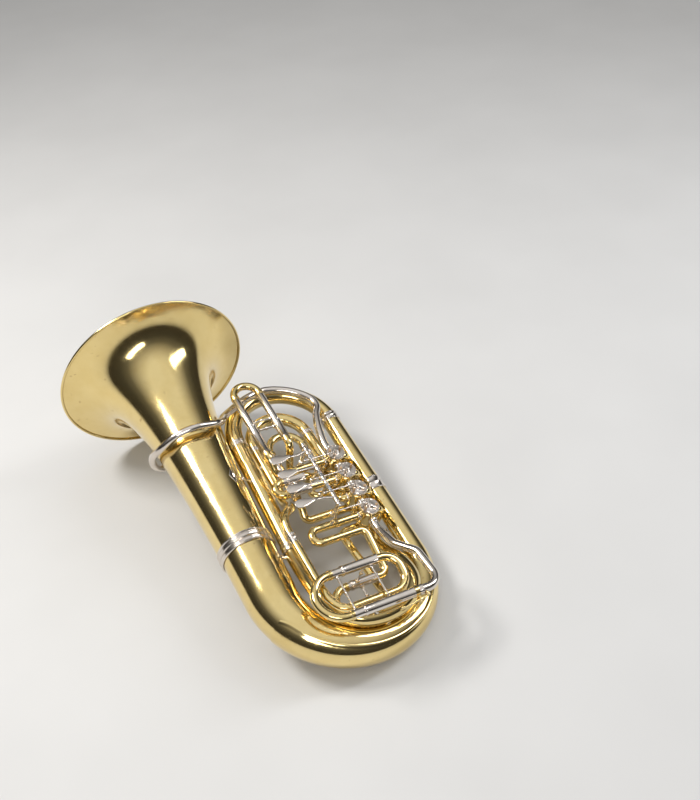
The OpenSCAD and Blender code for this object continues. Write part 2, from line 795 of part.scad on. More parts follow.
module slide_1_legs() rest() color(nickel) {
  rod([slide_x1[0], 270, lift_z], [slide_x1[0], slide_1_y, lift_z], tube_r, ri);
  rod([slide_x1[1], 290, lift_z], [slide_x1[1], slide_1_y, lift_z], tube_r, ri);
  rod([slide_x1[0] + ri, 333, lift_z], [slide_x1[1] - ri, 333, lift_z], 1.8);
}
module slide_1_bow() rest() color(brass)
  crook([slide_x1[0], slide_1_y, lift_z], [slide_x1[1], slide_1_y, lift_z], [0, 1, 0]);

module slide_2_legs() rest() color(nickel)
  for (y = slide_y2)
    rod([slide_2_x, y, valve_z], [147, y, valve_z], tube_r, ri);
module slide_2_bow() rest() color(brass)
  crook([slide_2_x, slide_y2[0], valve_z], [slide_2_x, slide_y2[1], valve_z], [-1, 0, 0]);

module slide_3_legs() rest() color(nickel)
  for (x = slide_x3)
    rod([x, 183, slide_z3], [x, slide_3_y, slide_z3], tube_r, ri);
module slide_3_bow() rest() color(brass)
  crook([slide_x3[0], slide_3_y, slide_z3], [slide_x3[1], slide_3_y, slide_z3], [0, 1, 0]);

module slide_4_legs() rest() color(nickel)
  for (y = slide_y4)
    rod([slide_4_x, y, slide_z4], [162, y, slide_z4], tube_r, ri);
module slide_4_bow() rest() color(brass)
  crook([slide_4_x, slide_y4[1], slide_z4], [slide_4_x, slide_y4[0], slide_z4], [-1, 0, 0]);

module main_slide_legs() rest() color(nickel) {
  for (y = [main_y0, main_y1])
    rod([main_x, y, main_z], [155, y, main_z], tube_r, ri);
  rod([86, main_y1 + ri, main_z], [86, main_y0 - ri, main_z], 1.8);
}
module main_slide_bow() rest() color(brass)
  crook([main_x, main_y1, main_z], [main_x, main_y0, main_z], [-1, 0, 0]);

// ---- braces ----
module brace(a, b, r = 2) {
  d = unit(b - a);
  rod(a, b, r);
  rod(a, a + d * 1.5, r * 2.2);
  rod(b - d * 1.5, b, r * 2.2);
}

module branch_braces() rest() color(nickel) {
  brace([26, 235, 47], [66, 235, 14]);
  brace([44, 60, 14], [60, 60, 12], 3);
  brace([94, 270, -1], [102, 270, -5]);
  brace([237, 262, -14], [265, 262, -3]);
  brace([251, 60, -24], [265, 60, -12]);
  brace([150, -126, 33], [150, -131, 27], 3);
}

module slide_braces() rest() color(nickel) {
  brace([slide_x1[0] + sleeve_r, 312, lift_z], [slide_x1[1] - sleeve_r, 312, lift_z]);
  brace([132, slide_y2[0] + sleeve_r, valve_z], [132, slide_y2[1] - sleeve_r, valve_z]);
  brace([slide_x3[0] + sleeve_r, 232, slide_z3], [slide_x3[1] - sleeve_r, 232, slide_z3]);
  brace([150, slide_y4[0] - sleeve_r, slide_z4], [150, slide_y4[1] + sleeve_r, slide_z4]);
  brace([150, main_y0 - sleeve_r, main_z], [150, main_y1 + sleeve_r, main_z]);
  brace([144, main_y0, main_z - sleeve_r], [144, slide_y4[0], slide_z4 + sleeve_r]);
  brace([125, main_y1, main_z - sleeve_r - 0.1], [125, -119.5, 61.5]);
}

// ---- water key on the lower leg of the main tuning slide ----
key_pivot = [196, main_y1 - 15.5, main_z];
key_pad_x = 212;
nipple_y = main_y1 - 11;
ear_gap = 3.4;

module key_saddle() rest() color(brass) {
  difference() {
    rod([key_pivot[0] - 4, main_y1, main_z], [key_pivot[0] + 4, main_y1, main_z], sleeve_r + 1.2);
    rod([key_pivot[0] - 5, main_y1, main_z], [key_pivot[0] + 5, main_y1, main_z], sleeve_r);
  }
  for (s = [-1, 1])
    translate([key_pivot[0] - 3, key_pivot[1] - 2.5, main_z + s * (ear_gap + 0.8) - 0.8])
      cube([6, 9, 1.6]);
  rod(key_pivot - [0, 0, ear_gap + 2], key_pivot + [0, 0, ear_gap + 2], 1);
  difference() {
    rod([key_pad_x, nipple_y, main_z], [key_pad_x, main_y1 - tube_r + 0.4, main_z], 3.2);
    rod([key_pad_x, nipple_y - 1, main_z], [key_pad_x, main_y1, main_z], 1.8);
  }
}

module water_key_pad() rest() color(cork)
  rod([key_pad_x, nipple_y - 1.3, main_z], [key_pad_x, nipple_y - 0.05, main_z], 3.8);

touch_x = 160;
touch_y = key_pivot[1] - 6;
module water_key() rest() color(brass) {
  rod([key_pad_x, nipple_y - 3.6, main_z], [key_pad_x, nipple_y - 1.32, main_z], 4.6);
  difference() {
    union() {
      rod(key_pivot - [0, 0, 3], key_pivot + [0, 0, 3], 2.6);
      translate([key_pad_x - 16, key_pivot[1] - 0.6, main_z - 1.8])
        cube([16, 2.4, 3.6]);
      translate([0, 0, main_z - 1.8])
        linear_extrude(3.6)
          polygon([[key_pivot[0], key_pivot[1] + 1.2], [key_pivot[0], key_pivot[1] - 1.4],
            [touch_x, touch_y + 0.4], [touch_x, touch_y + 2.6]]);
      rod([touch_x, touch_y, main_z], [touch_x, touch_y + 2, main_z], 6);
    }
    rod(key_pivot - [0, 0, 5], key_pivot + [0, 0, 5], 1.05);
  }
}

bell();
bell_stem();
bell_rim_wire();
bell_ferrule();
bottom_bow();
bow_guard();
branch_ferrules();
outer_branch();
upper_bow();
left_branch();
inner_bottom_bow();
inner_right_branch();
inner_upper_bow();
feed_branch();
tuning_return();
leadpipe();
mouthpiece_receiver();
valve_casings();
bearing_plates();
valve_caps();
valve_knuckles();
cork_bumpers();
slide_sleeves();
valve_tubes();
exit_pipe();
branch_braces();
slide_braces();
hinge_rod();
hinge_posts();
lever_springs();
key_saddle();
lever(0);  // lever_1
lever(1);  // lever_2
lever(2);  // lever_3
lever(3);  // lever_4
link(0);  // link_1
link(1);  // link_2
link(2);  // link_3
link(3);  // link_4
rotor(0);  // rotor_1
rotor(1);  // rotor_2
rotor(2);  // rotor_3
rotor(3);  // rotor_4
stop_arm(0);  // stop_arm_1
stop_arm(1);  // stop_arm_2
stop_arm(2);  // stop_arm_3
stop_arm(3);  // stop_arm_4
slide_1_legs();
slide_1_bow();
slide_2_legs();
slide_2_bow();
slide_3_legs();
slide_3_bow();
slide_4_legs();
slide_4_bow();
main_slide_legs();
main_slide_bow();
water_key();
water_key_pad();
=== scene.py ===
import json
import math

import bmesh
import bpy
from mathutils import Matrix, Vector

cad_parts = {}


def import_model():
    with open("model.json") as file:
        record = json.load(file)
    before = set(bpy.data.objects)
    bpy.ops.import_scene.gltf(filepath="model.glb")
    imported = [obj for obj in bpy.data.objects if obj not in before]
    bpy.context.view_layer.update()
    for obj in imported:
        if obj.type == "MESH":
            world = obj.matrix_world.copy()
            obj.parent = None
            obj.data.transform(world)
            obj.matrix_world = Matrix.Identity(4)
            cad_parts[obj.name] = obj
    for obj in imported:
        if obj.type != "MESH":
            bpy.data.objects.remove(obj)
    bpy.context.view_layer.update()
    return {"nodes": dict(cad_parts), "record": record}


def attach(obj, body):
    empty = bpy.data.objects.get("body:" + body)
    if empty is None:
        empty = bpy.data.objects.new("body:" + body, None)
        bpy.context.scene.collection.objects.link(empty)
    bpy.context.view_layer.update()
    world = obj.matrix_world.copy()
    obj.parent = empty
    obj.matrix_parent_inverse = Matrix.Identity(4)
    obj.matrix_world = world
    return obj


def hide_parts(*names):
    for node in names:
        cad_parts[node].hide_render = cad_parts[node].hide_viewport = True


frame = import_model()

X, Y, Z = Vector((1, 0, 0)), Vector((0, 1, 0)), Vector((0, 0, 1))

# ---- the tuba's own frame, from the joints: X over the body, Y up the stem, Z to the valves ----
JOINTS = {j["name"]: j for j in frame["record"]["behaviour"]["joints"]}
AX = Vector(JOINTS["link_1_push"]["axis"])
AY = Vector(JOINTS["slide_1_pull"]["axis"])
AZ = Vector(JOINTS["valve_1_turn"]["axis"])
VALVE_X, VALVE_Y, VALVE_Z, PITCH = 227.0, 218.0, 30.0, 45.0
FIRST_VALVE = Vector(JOINTS["valve_1_turn"]["pos_m"])
ORIGIN = FIRST_VALVE - (AX * VALVE_X + AY * VALVE_Y + AZ * VALVE_Z) * 0.001
TURN = Matrix((AX, AY, AZ)).transposed().to_4x4()
LAY = Matrix.Translation(ORIGIN) @ TURN @ Matrix.Scale(0.001, 4)


# ---- shape tools: every one returns (vertices, faces) in millimetres of the tuba's frame ----
def vec(p):
    return Vector((float(p[0]), float(p[1]), float(p[2])))


def lerp(a, b, t):
    return a + (b - a) * t


def side_of(d):
    ref = Z if abs(d.z) < 0.9 else X
    return ref.cross(d).normalized()


def spline(points, n):
    """A smooth curve through listed points."""
    p = [vec(q) for q in points]
    out = []
    for i in range(len(p) - 1):
        a, b, c, d = p[max(i - 1, 0)], p[i], p[i + 1], p[min(i + 2, len(p) - 1)]
        for k in range(n):
            t = k / n
            out.append(0.5 * ((2 * b) + (c - a) * t + (2 * a - 5 * b + 4 * c - d) * t * t
                              + (3 * b - a - 3 * c + d) * t ** 3))
    return out + [p[-1]]


def bent(points, bend, step=6):
    """Straight runs joined by round bends."""
    p = [vec(q) for q in points]
    out = [p[0]]
    for i in range(1, len(p) - 1):
        d0, d1 = (p[i] - p[i - 1]).normalized(), (p[i + 1] - p[i]).normalized()
        angle = d0.angle(d1)
        if angle < 1e-3:
            continue
        cut = bend * math.tan(angle / 2)
        start = p[i] - d0 * cut
        n = (d1 - d0 * d0.dot(d1)).normalized()
        centre = start + n * bend
        count = max(3, int(math.degrees(angle) / step))
        for k in range(count + 1):
            a = angle * k / count
            out.append(centre - n * bend * math.cos(a) + d0 * bend * math.sin(a))
    out.append(p[-1])
    return [q for i, q in enumerate(out) if i == 0 or (q - out[i - 1]).length > 0.05]


def densify(points, gap):
    """More points along a path, no further apart than the gap."""
    out = [points[0]]
    for a, b in zip(points, points[1:]):
        count = max(1, int((b - a).length / gap))
        out += [a.lerp(b, (k + 1) / count) for k in range(count)]
    return out


def tube(points, radius, sides=40, wall=0.8):
    """A tube along a path. radius is a number or one per point; wall 0 makes it solid."""
    p = [vec(q) for q in points]
    n = len(p)
    radii = [radius] * n if isinstance(radius, (int, float)) else list(radius)
    verts, faces = [], []
    tangents = [(p[min(i + 1, n - 1)] - p[max(i - 1, 0)]).normalized() for i in range(n)]
    u = side_of(tangents[0])
    rings = []
    for i in range(n):
        t = tangents[i]
        u = (u - t * u.dot(t)).normalized()
        rings.append((p[i], u.copy(), t.cross(u)))
    skins = [0.0] if wall == 0 else [0.0, wall]
    for skin in skins:
        for i, (c, a, b) in enumerate(rings):
            r = radii[i] - skin
            for k in range(sides):
                w = 2 * math.pi * k / sides
                verts.append(c + a * r * math.cos(w) + b * r * math.sin(w))
    for i in range(n - 1):
        for k in range(sides):
            q = (i * sides + k, i * sides + (k + 1) % sides,
                 (i + 1) * sides + (k + 1) % sides, (i + 1) * sides + k)
            faces.append(q)
            if wall:
                faces.append(tuple(n * sides + j for j in reversed(q)))
    last = (n - 1) * sides
    if wall:
        for k in range(sides):
            m = (k + 1) % sides
            faces.append((k, n * sides + k, n * sides + m, m))
            faces.append((last + k, last + m, n * sides + last + m, n * sides + last + k))
    else:
        faces.append(tuple(reversed(range(sides))))
        faces.append(tuple(last + k for k in range(sides)))
    return verts, faces


def lathe(profile, origin, axis, sides=64, closed=True):
    """profile: (radius, height) pairs round the axis. Radius 0 ends are closed with a fan."""
    origin, axis = vec(origin), vec(axis).normalized()
    u = side_of(axis)
    v = axis.cross(u)
    verts, faces, rows = [], [], []
    for r, h in profile:
        if r < 1e-6:
            rows.append([len(verts)] * sides)
            verts.append(origin + axis * h)
        else:
            rows.append(list(range(len(verts), len(verts) + sides)))
            for k in range(sides):
                w = 2 * math.pi * k / sides
                verts.append(origin + axis * h + u * r * math.cos(w) + v * r * math.sin(w))
    pairs = list(zip(rows, rows[1:])) + ([(rows[-1], rows[0])] if closed else [])
    for a, b in pairs:
        for k in range(sides):
            m = (k + 1) % sides
            quad = []
            for j in (a[k], a[m], b[m], b[k]):
                if j not in quad:
                    quad.append(j)
            if len(quad) > 2:
                faces.append(tuple(quad))
    return verts, faces


def round_profile(profile, r_in):
    """Closes a turned outline with a bore."""
    return [*profile, (r_in, profile[-1][1]), (r_in, profile[0][1])]


def ring_band(p, d, bore, proud, half, sides=64):
    """A turned ferrule: a bead at each end and a fine one in the middle."""
    out = []
    for k in range(9):
        a = math.pi * k / 8
        out.append((bore + proud * (0.35 + 0.65 * math.sin(a)), -half + 2.6 * k / 8))
    out += [(bore + proud * 0.3, -half + 3.1), (bore + proud * 0.3, -0.9)]
    for k in range(7):
        a = math.pi * k / 6
        out.append((bore + proud * (0.3 + 0.3 * math.sin(a)), -0.9 + 1.8 * k / 6))
    out += [(bore + proud * 0.3, 0.9), (bore + proud * 0.3, half - 3.1)]
    for k in range(9):
        a = math.pi * k / 8
        out.append((bore + proud * (0.35 + 0.65 * math.sin(a)), half - 2.6 + 2.6 * k / 8))
    return lathe(round_profile(out, bore), p, d, sides)


def turned_rod(a, b, r, foot=2.2, thick=1.6):
    """A brace: a rod that flares into a round foot at each end, with a knob in the middle."""
    a, b = vec(a), vec(b)
    h = (b - a).length
    flare = min(5.0, h / 2 - thick * 0.5 - 0.2)
    out = [(0, 0)]
    for s in range(2):
        side = []
        for k in range(8):
            t = k / 7
            side.append((r + r * (foot - 1) * (1 - t) ** 2.4, thick * 0.5 + t * flare))
        side.insert(0, (r * foot, 0.0))
        if s == 0:
            out += side
        else:
            out += [(q, h - z) for q, z in reversed(side)]
        if s == 0 and h > 24:
            for k in range(9):
                w = math.pi * k / 8
                out.append((r + 0.8 * r * math.sin(w), h / 2 - 2.4 + 4.8 * k / 8))
    out.append((0, h))
    return lathe(out, a, b - a, 24, closed=False)


def circle(cx, cy, r, n=32, a0=0.0, a1=360.0):
    full = abs(a1 - a0 - 360) < 1e-6
    return [(cx + r * math.cos(math.radians(a0 + (a1 - a0) * k / (n if full else n - 1))),
             cy + r * math.sin(math.radians(a0 + (a1 - a0) * k / (n if full else n - 1))))
            for k in range(n)]


def moved(shape, matrix):
    return [matrix @ vec(v) for v in shape[0]], shape[1]


def merged(*shapes):
    verts, faces = [], []
    for s in shapes:
        base = len(verts)
        verts += s[0]
        faces += [tuple(base + j for j in f) for f in s[1]]
    return verts, faces


def slot_head(p, d, r, h):
    """A screw's domed head with its slot."""
    p, d = vec(p), vec(d).normalized()
    u = side_of(d)
    v = d.cross(u)
    w = r * 0.13
    verts, faces = [], []
    for s in (1, -1):
        arc = []
        a0 = math.asin(w / r)
        for k in range(15):
            a = a0 + (math.pi - 2 * a0) * k / 14
            arc.append((r * math.cos(a), s * r * math.sin(a)))
        base = len(verts)
        for x, y in arc:
            verts.append(p + u * x + v * y)
        for x, y in arc:
            verts.append(p + u * x + v * y + d * h * 0.7)
        for x, y in arc:
            verts.append(p + u * x * 0.86 + v * (s * w + (y - s * w) * 0.86) + d * h)
        n = len(arc)
        order = 1 if s > 0 else -1
        for row in (0, 1):
            for k in range(n):
                m = (k + 1) % n
                q = (base + row * n + k, base + row * n + m, base + (row + 1) * n + m,
                     base + (row + 1) * n + k)
                faces.append(q if order > 0 else tuple(reversed(q)))
        top = tuple(base + 2 * n + k for k in range(n))
        low = tuple(base + k for k in reversed(range(n)))
        faces += [top, low] if order > 0 else [tuple(reversed(top)), tuple(reversed(low))]
    return merged((verts, faces),
                  lathe([(0, -0.1), (r, -0.1), (r, h * 0.35), (0, h * 0.35)], p, d, 32, False))


MATERIALS = {}


def add(node, shape, material, body, slot, sharp=34, nodes=None):
    """One visible piece: it takes the place of its CAD node and rides on its body."""
    mesh = bpy.data.meshes.new(node)
    mesh.from_pydata([LAY @ v for v in shape[0]], [], shape[1])
    bm = bmesh.new()
    bm.from_mesh(mesh)
    bmesh.ops.remove_doubles(bm, verts=bm.verts, dist=2e-6)
    bmesh.ops.dissolve_degenerate(bm, dist=1e-7, edges=bm.edges)
    bmesh.ops.recalc_face_normals(bm, faces=bm.faces)
    for f in bm.faces:
        f.smooth = True
    limit = math.radians(sharp)
    for e in bm.edges:
        e.smooth = not (e.is_manifold and e.calc_face_angle(0) > limit)
    bm.to_mesh(mesh)
    bm.free()
    mesh.materials.append(MATERIALS[material])
    piece = bpy.data.objects.new(node, mesh)
    bpy.context.scene.collection.objects.link(piece)
    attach(piece, body)
    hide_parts(*(nodes or [node]))


# ---- materials ----
def node_tree(name):
    mat = bpy.data.materials.new(name)
    mat.use_nodes = True
    nt = mat.node_tree
    nt.nodes.clear()
    out = nt.nodes.new("ShaderNodeOutputMaterial")
    bsdf = nt.nodes.new("ShaderNodeBsdfPrincipled")
    nt.links.new(bsdf.outputs[0], out.inputs[0])
    MATERIALS[name] = mat
    return nt, bsdf


def noise_node(nt, coords, scale, detail=5.0, rough=0.55, stretch=None):
    source = coords
    if stretch:
        m = nt.nodes.new("ShaderNodeMapping")
        m.inputs["Scale"].default_value = stretch
        nt.links.new(coords, m.inputs["Vector"])
        source = m.outputs[0]
    n = nt.nodes.new("ShaderNodeTexNoise")
    n.inputs["Scale"].default_value = scale
    n.inputs["Detail"].default_value = detail
    n.inputs["Roughness"].default_value = rough
    nt.links.new(source, n.inputs["Vector"])
    return n.outputs["Fac"]


def ranged(nt, fac, lo, hi, a, b):
    m = nt.nodes.new("ShaderNodeMapRange")
    m.inputs["From Min"].default_value = lo
    m.inputs["From Max"].default_value = hi
    m.inputs["To Min"].default_value = a
    m.inputs["To Max"].default_value = b
    nt.links.new(fac, m.inputs["Value"])
    return m.outputs[0]


def mixed(nt, fac, a, b):
    m = nt.nodes.new("ShaderNodeMix")
    m.data_type = "RGBA"
    nt.links.new(fac, m.inputs["Factor"])
    for socket, value in ((m.inputs["A"], a), (m.inputs["B"], b)):
        if isinstance(value, tuple):
            socket.default_value = value
        else:
            nt.links.new(value, socket)
    return m.outputs["Result"]


def metal(name, base, dull, spots, rough, coat, wear_scale=22.0):
    """Polished metal with handling haze, faint scratches and a few tarnish freckles."""
    nt, bsdf = node_tree(name)
    coords = nt.nodes.new("ShaderNodeTexCoord").outputs["Object"]
    haze = noise_node(nt, coords, wear_scale, 6.0, 0.6)
    fine = noise_node(nt, coords, 160.0, 3.0, 0.5, (1.0, 0.35, 1.0))
    freckle = noise_node(nt, coords, 95.0, 2.0, 0.5)
    colour = mixed(nt, ranged(nt, haze, 0.38, 0.72, 0.0, 1.0), base, dull)
    colour = mixed(nt, ranged(nt, freckle, 0.70, 0.76, 0.0, 0.5), colour, spots)
    nt.links.new(colour, bsdf.inputs["Base Color"])
    bsdf.inputs["Metallic"].default_value = 1.0
    worn = ranged(nt, haze, 0.35, 0.75, rough[0], rough[1])
    grain = ranged(nt, fine, 0.3, 0.8, -0.015, 0.03)
    total = nt.nodes.new("ShaderNodeMath")
    total.operation = "ADD"
    nt.links.new(worn, total.inputs[0])
    nt.links.new(grain, total.inputs[1])
    nt.links.new(total.outputs[0], bsdf.inputs["Roughness"])
    bsdf.inputs["Coat Weight"].default_value = coat
    bsdf.inputs["Coat Roughness"].default_value = 0.06
    bump = nt.nodes.new("ShaderNodeBump")
    bump.inputs["Strength"].default_value = 0.05
    bump.inputs["Distance"].default_value = 0.0006
    ripple = noise_node(nt, coords, 34.0, 2.0, 0.4)
    nt.links.new(ripple, bump.inputs["Height"])
    nt.links.new(bump.outputs[0], bsdf.inputs["Normal"])


metal("brass", (0.86, 0.68, 0.31, 1), (0.80, 0.61, 0.25, 1), (0.40, 0.24, 0.09, 1),
      (0.09, 0.17), 0.4)
metal("nickel", (0.80, 0.74, 0.68, 1), (0.70, 0.63, 0.56, 1), (0.38, 0.32, 0.27, 1),
      (0.12, 0.22), 0.0, 30.0)
metal("steel", (0.62, 0.62, 0.64, 1), (0.50, 0.50, 0.52, 1), (0.30, 0.26, 0.22, 1),
      (0.22, 0.34), 0.0, 40.0)


def cork_material():
    nt, bsdf = node_tree("cork")
    coords = nt.nodes.new("ShaderNodeTexCoord").outputs["Object"]
    grain = noise_node(nt, coords, 900.0, 4.0, 0.65)
    cell = nt.nodes.new("ShaderNodeTexVoronoi")
    cell.inputs["Scale"].default_value = 1400.0
    nt.links.new(coords, cell.inputs["Vector"])
    colour = mixed(nt, ranged(nt, grain, 0.35, 0.65, 0.0, 1.0),
                   (0.62, 0.42, 0.24, 1), (0.34, 0.20, 0.10, 1))
    nt.links.new(colour, bsdf.inputs["Base Color"])
    bsdf.inputs["Roughness"].default_value = 0.9
    bump = nt.nodes.new("ShaderNodeBump")
    bump.inputs["Strength"].default_value = 0.5
    bump.inputs["Distance"].default_value = 0.0004
    nt.links.new(cell.outputs["Distance"], bump.inputs["Height"])
    nt.links.new(bump.outputs[0], bsdf.inputs["Normal"])


cork_material()
BRASS, NICKEL, STEEL, CORK = ("lacquered_brass", "nickel_silver", "spring_steel", "cork")
LOOK = {BRASS: "brass", NICKEL: "nickel", STEEL: "steel", CORK: "cork"}
SLOT_OF = {s["node"]: s["material_slot"] for s in frame["record"]["subparts"]}
BODY_OF = {n: b for b, nodes in frame["record"]["behaviour"]["bodies"].items() for n in nodes}

for node, obj in frame["nodes"].items():
    obj.data.materials.clear()
    obj.data.materials.append(MATERIALS[LOOK[SLOT_OF[node]]])


def make(node, *shapes, **options):
    slot = SLOT_OF[node]
    add(node, merged(*shapes), LOOK[slot], BODY_OF[node], slot, **options)


# ---- bell, stem and bottom bow ----
WALL, RIM_R, RIM_Y, TAIL, POWER = 0.8, 185.0, 565.0, 15.0, 0.39
BODY_W, JOINT_Y, BRANCH_Y = 282.0, 105.0, 150.0
RIM_INNER_Y, RIM_WIRE = RIM_Y - 0.6, 2.6
FERRULE_HALF = 12
BOW_R0, BOW_R1 = 46.5, 19.7


def bell_r(y):
    return RIM_R * (TAIL / (RIM_Y + TAIL - y)) ** POWER


def bell():
    steps = 130
    ys = [JOINT_Y + (RIM_INNER_Y - JOINT_Y) * (1 - (1 - k / steps) ** 1.9)
          for k in range(steps + 1)]
    outer = [(bell_r(y), y) for y in ys]
    inner = []
    for y in ys:
        slope = POWER * bell_r(y) / (RIM_Y + TAIL - y)
        inner.append((bell_r(y) - WALL * math.sqrt(1 + slope * slope), y))
    make("bell", lathe(outer + inner[::-1], (0, 0, 0), Y, 256), sharp=60,
         nodes=["bell", "bell_stem"])
    rim = bell_r(RIM_INNER_Y) + RIM_WIRE + 0.02
    bead = [(rim + RIM_WIRE * math.cos(a), RIM_INNER_Y + RIM_WIRE * math.sin(a))
            for a in [2 * math.pi * k / 20 for k in range(20)]]
    make("bell_rim_wire", lathe(bead, (0, 0, 0), Y, 256), sharp=60)
    r = bell_r(JOINT_Y + FERRULE_HALF) + 0.05
    out = [(r + 1.2 + 1.9 * math.sin(math.pi * k / 12), -FERRULE_HALF + 3.6 * k / 12)
           for k in range(13)]
    out += [(r + 1.0, -8.1), (r + 1.0, -7.4)]
    out += [(r + 1.2 + 0.8 * math.sin(math.pi * k / 14) ** 2, -7.4 + 5.0 * k / 14)
            for k in range(15)]
    out += [(r + 1.1 + 2.4 * math.sin(math.pi * k / 12), -2.2 + 4.4 * k / 12) for k in range(13)]
    out += [(r + 1.2 + 0.8 * math.sin(math.pi * k / 14) ** 2, 2.4 + 5.0 * k / 14)
            for k in range(15)]
    out += [(r + 1.0, 7.4), (r + 1.0, 8.1)]
    out += [(r + 1.2 + 1.9 * math.sin(math.pi * k / 12), 8.4 + 3.6 * k / 12) for k in range(13)]
    make("bell_ferrule", lathe(round_profile(out, r), (0, JOINT_Y, 0), Y, 160), sharp=50)


def bow_taper(t):
    return lerp(BOW_R0, BOW_R1, t)


def bottom_bow():
    half = BODY_W / 2
    steps = 26
    n = 104
    path = [Vector((0, lerp(JOINT_Y, 0, k / 10), 0)) for k in range(10)]
    radii = [lerp(bell_r(JOINT_Y), BOW_R0, k / 10) for k in range(10)]
    for k in range(n + 1):
        a = math.pi * k / n
        path.append(Vector((half - half * math.cos(a), -half * math.sin(a), 0)))
        radii.append(bow_taper(k / n))
    path += [Vector((BODY_W, BRANCH_Y * k / 8, 0)) for k in range(1, 9)]
    radii += [BOW_R1 - 0.4 * k / 8 for k in range(1, 9)]
    make("bottom_bow", tube(path, radii, 96, WALL), sharp=60)

    first, last, spread = 3 / steps, (steps - 4) / steps, 62
    rows, ribs = 150, 40
    verts, faces = [], []

    def skin(t, a, lift):
        turn = math.pi * t
        out = Vector((-math.cos(turn), -math.sin(turn), 0))
        r = bow_taper(t) + lift
        return (Vector((half, 0, 0)) + out * (half + r * math.cos(math.radians(a)))
                + Vector((0, 0, r * math.sin(math.radians(a)))))

    ring = 2 * (ribs + 1)
    for i in range(rows + 1):
        t = lerp(first, last, i / rows)
        end = min(i, rows - i) / 10
        taper = 1 - 0.16 * max(0.0, 1 - end) ** 2
        for j in range(ribs + 1):
            a = lerp(-spread, spread, j / ribs) * taper
            near = min(j, ribs - j)
            lift = 1.3 + (0.55 if near in (1, 2) else 0.0) - (0.35 if near == 0 else 0.0)
            verts.append(skin(t, a, lift))
        for j in range(ribs, -1, -1):
            verts.append(skin(t, lerp(-spread, spread, j / ribs) * taper, 0.3))
    for i in range(rows):
        for j in range(ring):
            m = (j + 1) % ring
            faces.append((i * ring + j, i * ring + m, (i + 1) * ring + m, (i + 1) * ring + j))
    for base in (0, rows * ring):
        for j in range(ribs):
            faces.append((base + j, base + j + 1, base + ring - 2 - j, base + ring - 1 - j))
    make("bow_guard", (verts, faces), sharp=50)


LEFT_X = 82.0
UPPER_R = (BODY_W - LEFT_X) / 2
UPPER_CX = (BODY_W + LEFT_X) / 2
UPPER_CY = 433.0 - UPPER_R
LEFT_TOP, LEFT_FOOT = Vector((LEFT_X, UPPER_CY, 0)), Vector((70, 75, 8))
LEFT_DIR = (LEFT_FOOT - LEFT_TOP).normalized()


def arc(cx, cy, r, a0, a1, z, n=64):
    return [Vector((cx + r * math.cos(math.radians(lerp(a0, a1, k / n))),
                    cy + r * math.sin(math.radians(lerp(a0, a1, k / n))), z))
            for k in range(n + 1)]


def branches():
    a, b = Vector((BODY_W, BRANCH_Y, 0)), Vector((BODY_W, UPPER_CY, 0))
    make("outer_branch", tube([a.lerp(b, k / 12) for k in range(13)],
                              [lerp(19.3, 17.2, k / 12) for k in range(13)], 72, WALL))
    make("upper_bow", tube(arc(UPPER_CX, UPPER_CY, UPPER_R, 0, 180, 0, 96), 17.2, 72, WALL))
    a, b = LEFT_TOP + LEFT_DIR * 0.5, LEFT_FOOT - LEFT_DIR * 0.3
    make("left_branch", tube([a.lerp(b, k / 12) for k in range(13)],
                             [lerp(17.15, 15.6, k / 12) for k in range(13)], 64, WALL))
    path = spline([LEFT_FOOT, LEFT_FOOT + LEFT_DIR * 14, (66, 20, 20), (63, -35, 39), (73, -85, 47),
                   (105, -114, 48), (150, -122, 47), (195, -110, 44), (228, -76, 37),
                   (240, -28, 17), (241, 16, -13), (240, 46, -28), (240, 60, -29)], 10)
    make("inner_bottom_bow", tube(path, [lerp(15.6, 13, k / (len(path) - 1))
                                         for k in range(len(path))], 56, WALL))
    path = spline([(240, 60.4, -29), (240, 140, -29), (240, 215, -29), (236, 246, -24),
                   (228, 290, -10), (226, 322, -8)], 12)
    make("inner_right_branch", tube(path, [lerp(13, 12, k / (len(path) - 1))
                                           for k in range(len(path))], 48, WALL))
    bow = arc(169, 322.3, 57, 0, 180, -8, 72)
    make("inner_upper_bow", tube(bow + [Vector((112, 317, -8)), Vector((112, 313.2, -8))],
                                 12, 48, WALL))
    path = spline([(112, 313, -8), (112, 250, -8), (112, 185, -8), (105, 152, 16), (84, 128, 46),
                   (66, 106, 61), (60, 82, 63.5), (60, 60, 63.5)], 14)
    make("feed_branch", tube(path, [lerp(12, 7.5, min(1, 1.2 * k / (len(path) - 1)))
                                    for k in range(len(path))], 48, WALL))
    path = densify(bent([(160, -40, 84), (200, -40, 84), (200, -101, 70), (72, -101, 70),
                         (60, -68, 67), (60, 59.7, 63.5)], 27), 12)
    make("tuning_return", tube(path, 7.5, 36, WALL))
    make("branch_ferrules",
         ring_band((BODY_W, BRANCH_Y, 0), Y, 19.6, 1.9, 14),
         ring_band((BODY_W, UPPER_CY, 0), Y, 17.5, 1.8, 9),
         ring_band(LEFT_TOP + LEFT_DIR * 4, LEFT_DIR, 17.5, 1.7, 6),
         ring_band(LEFT_FOOT, LEFT_DIR, 16.3, 1.7, 8),
         ring_band((112, 313, -8), Y, 12.1, 1.6, 5),
         ring_band((226, 320, -8), Y, 12.2, 1.6, 5),
         ring_band((60, 60, 63.5), Y, 7.6, 1.6, 10, 48), sharp=50)


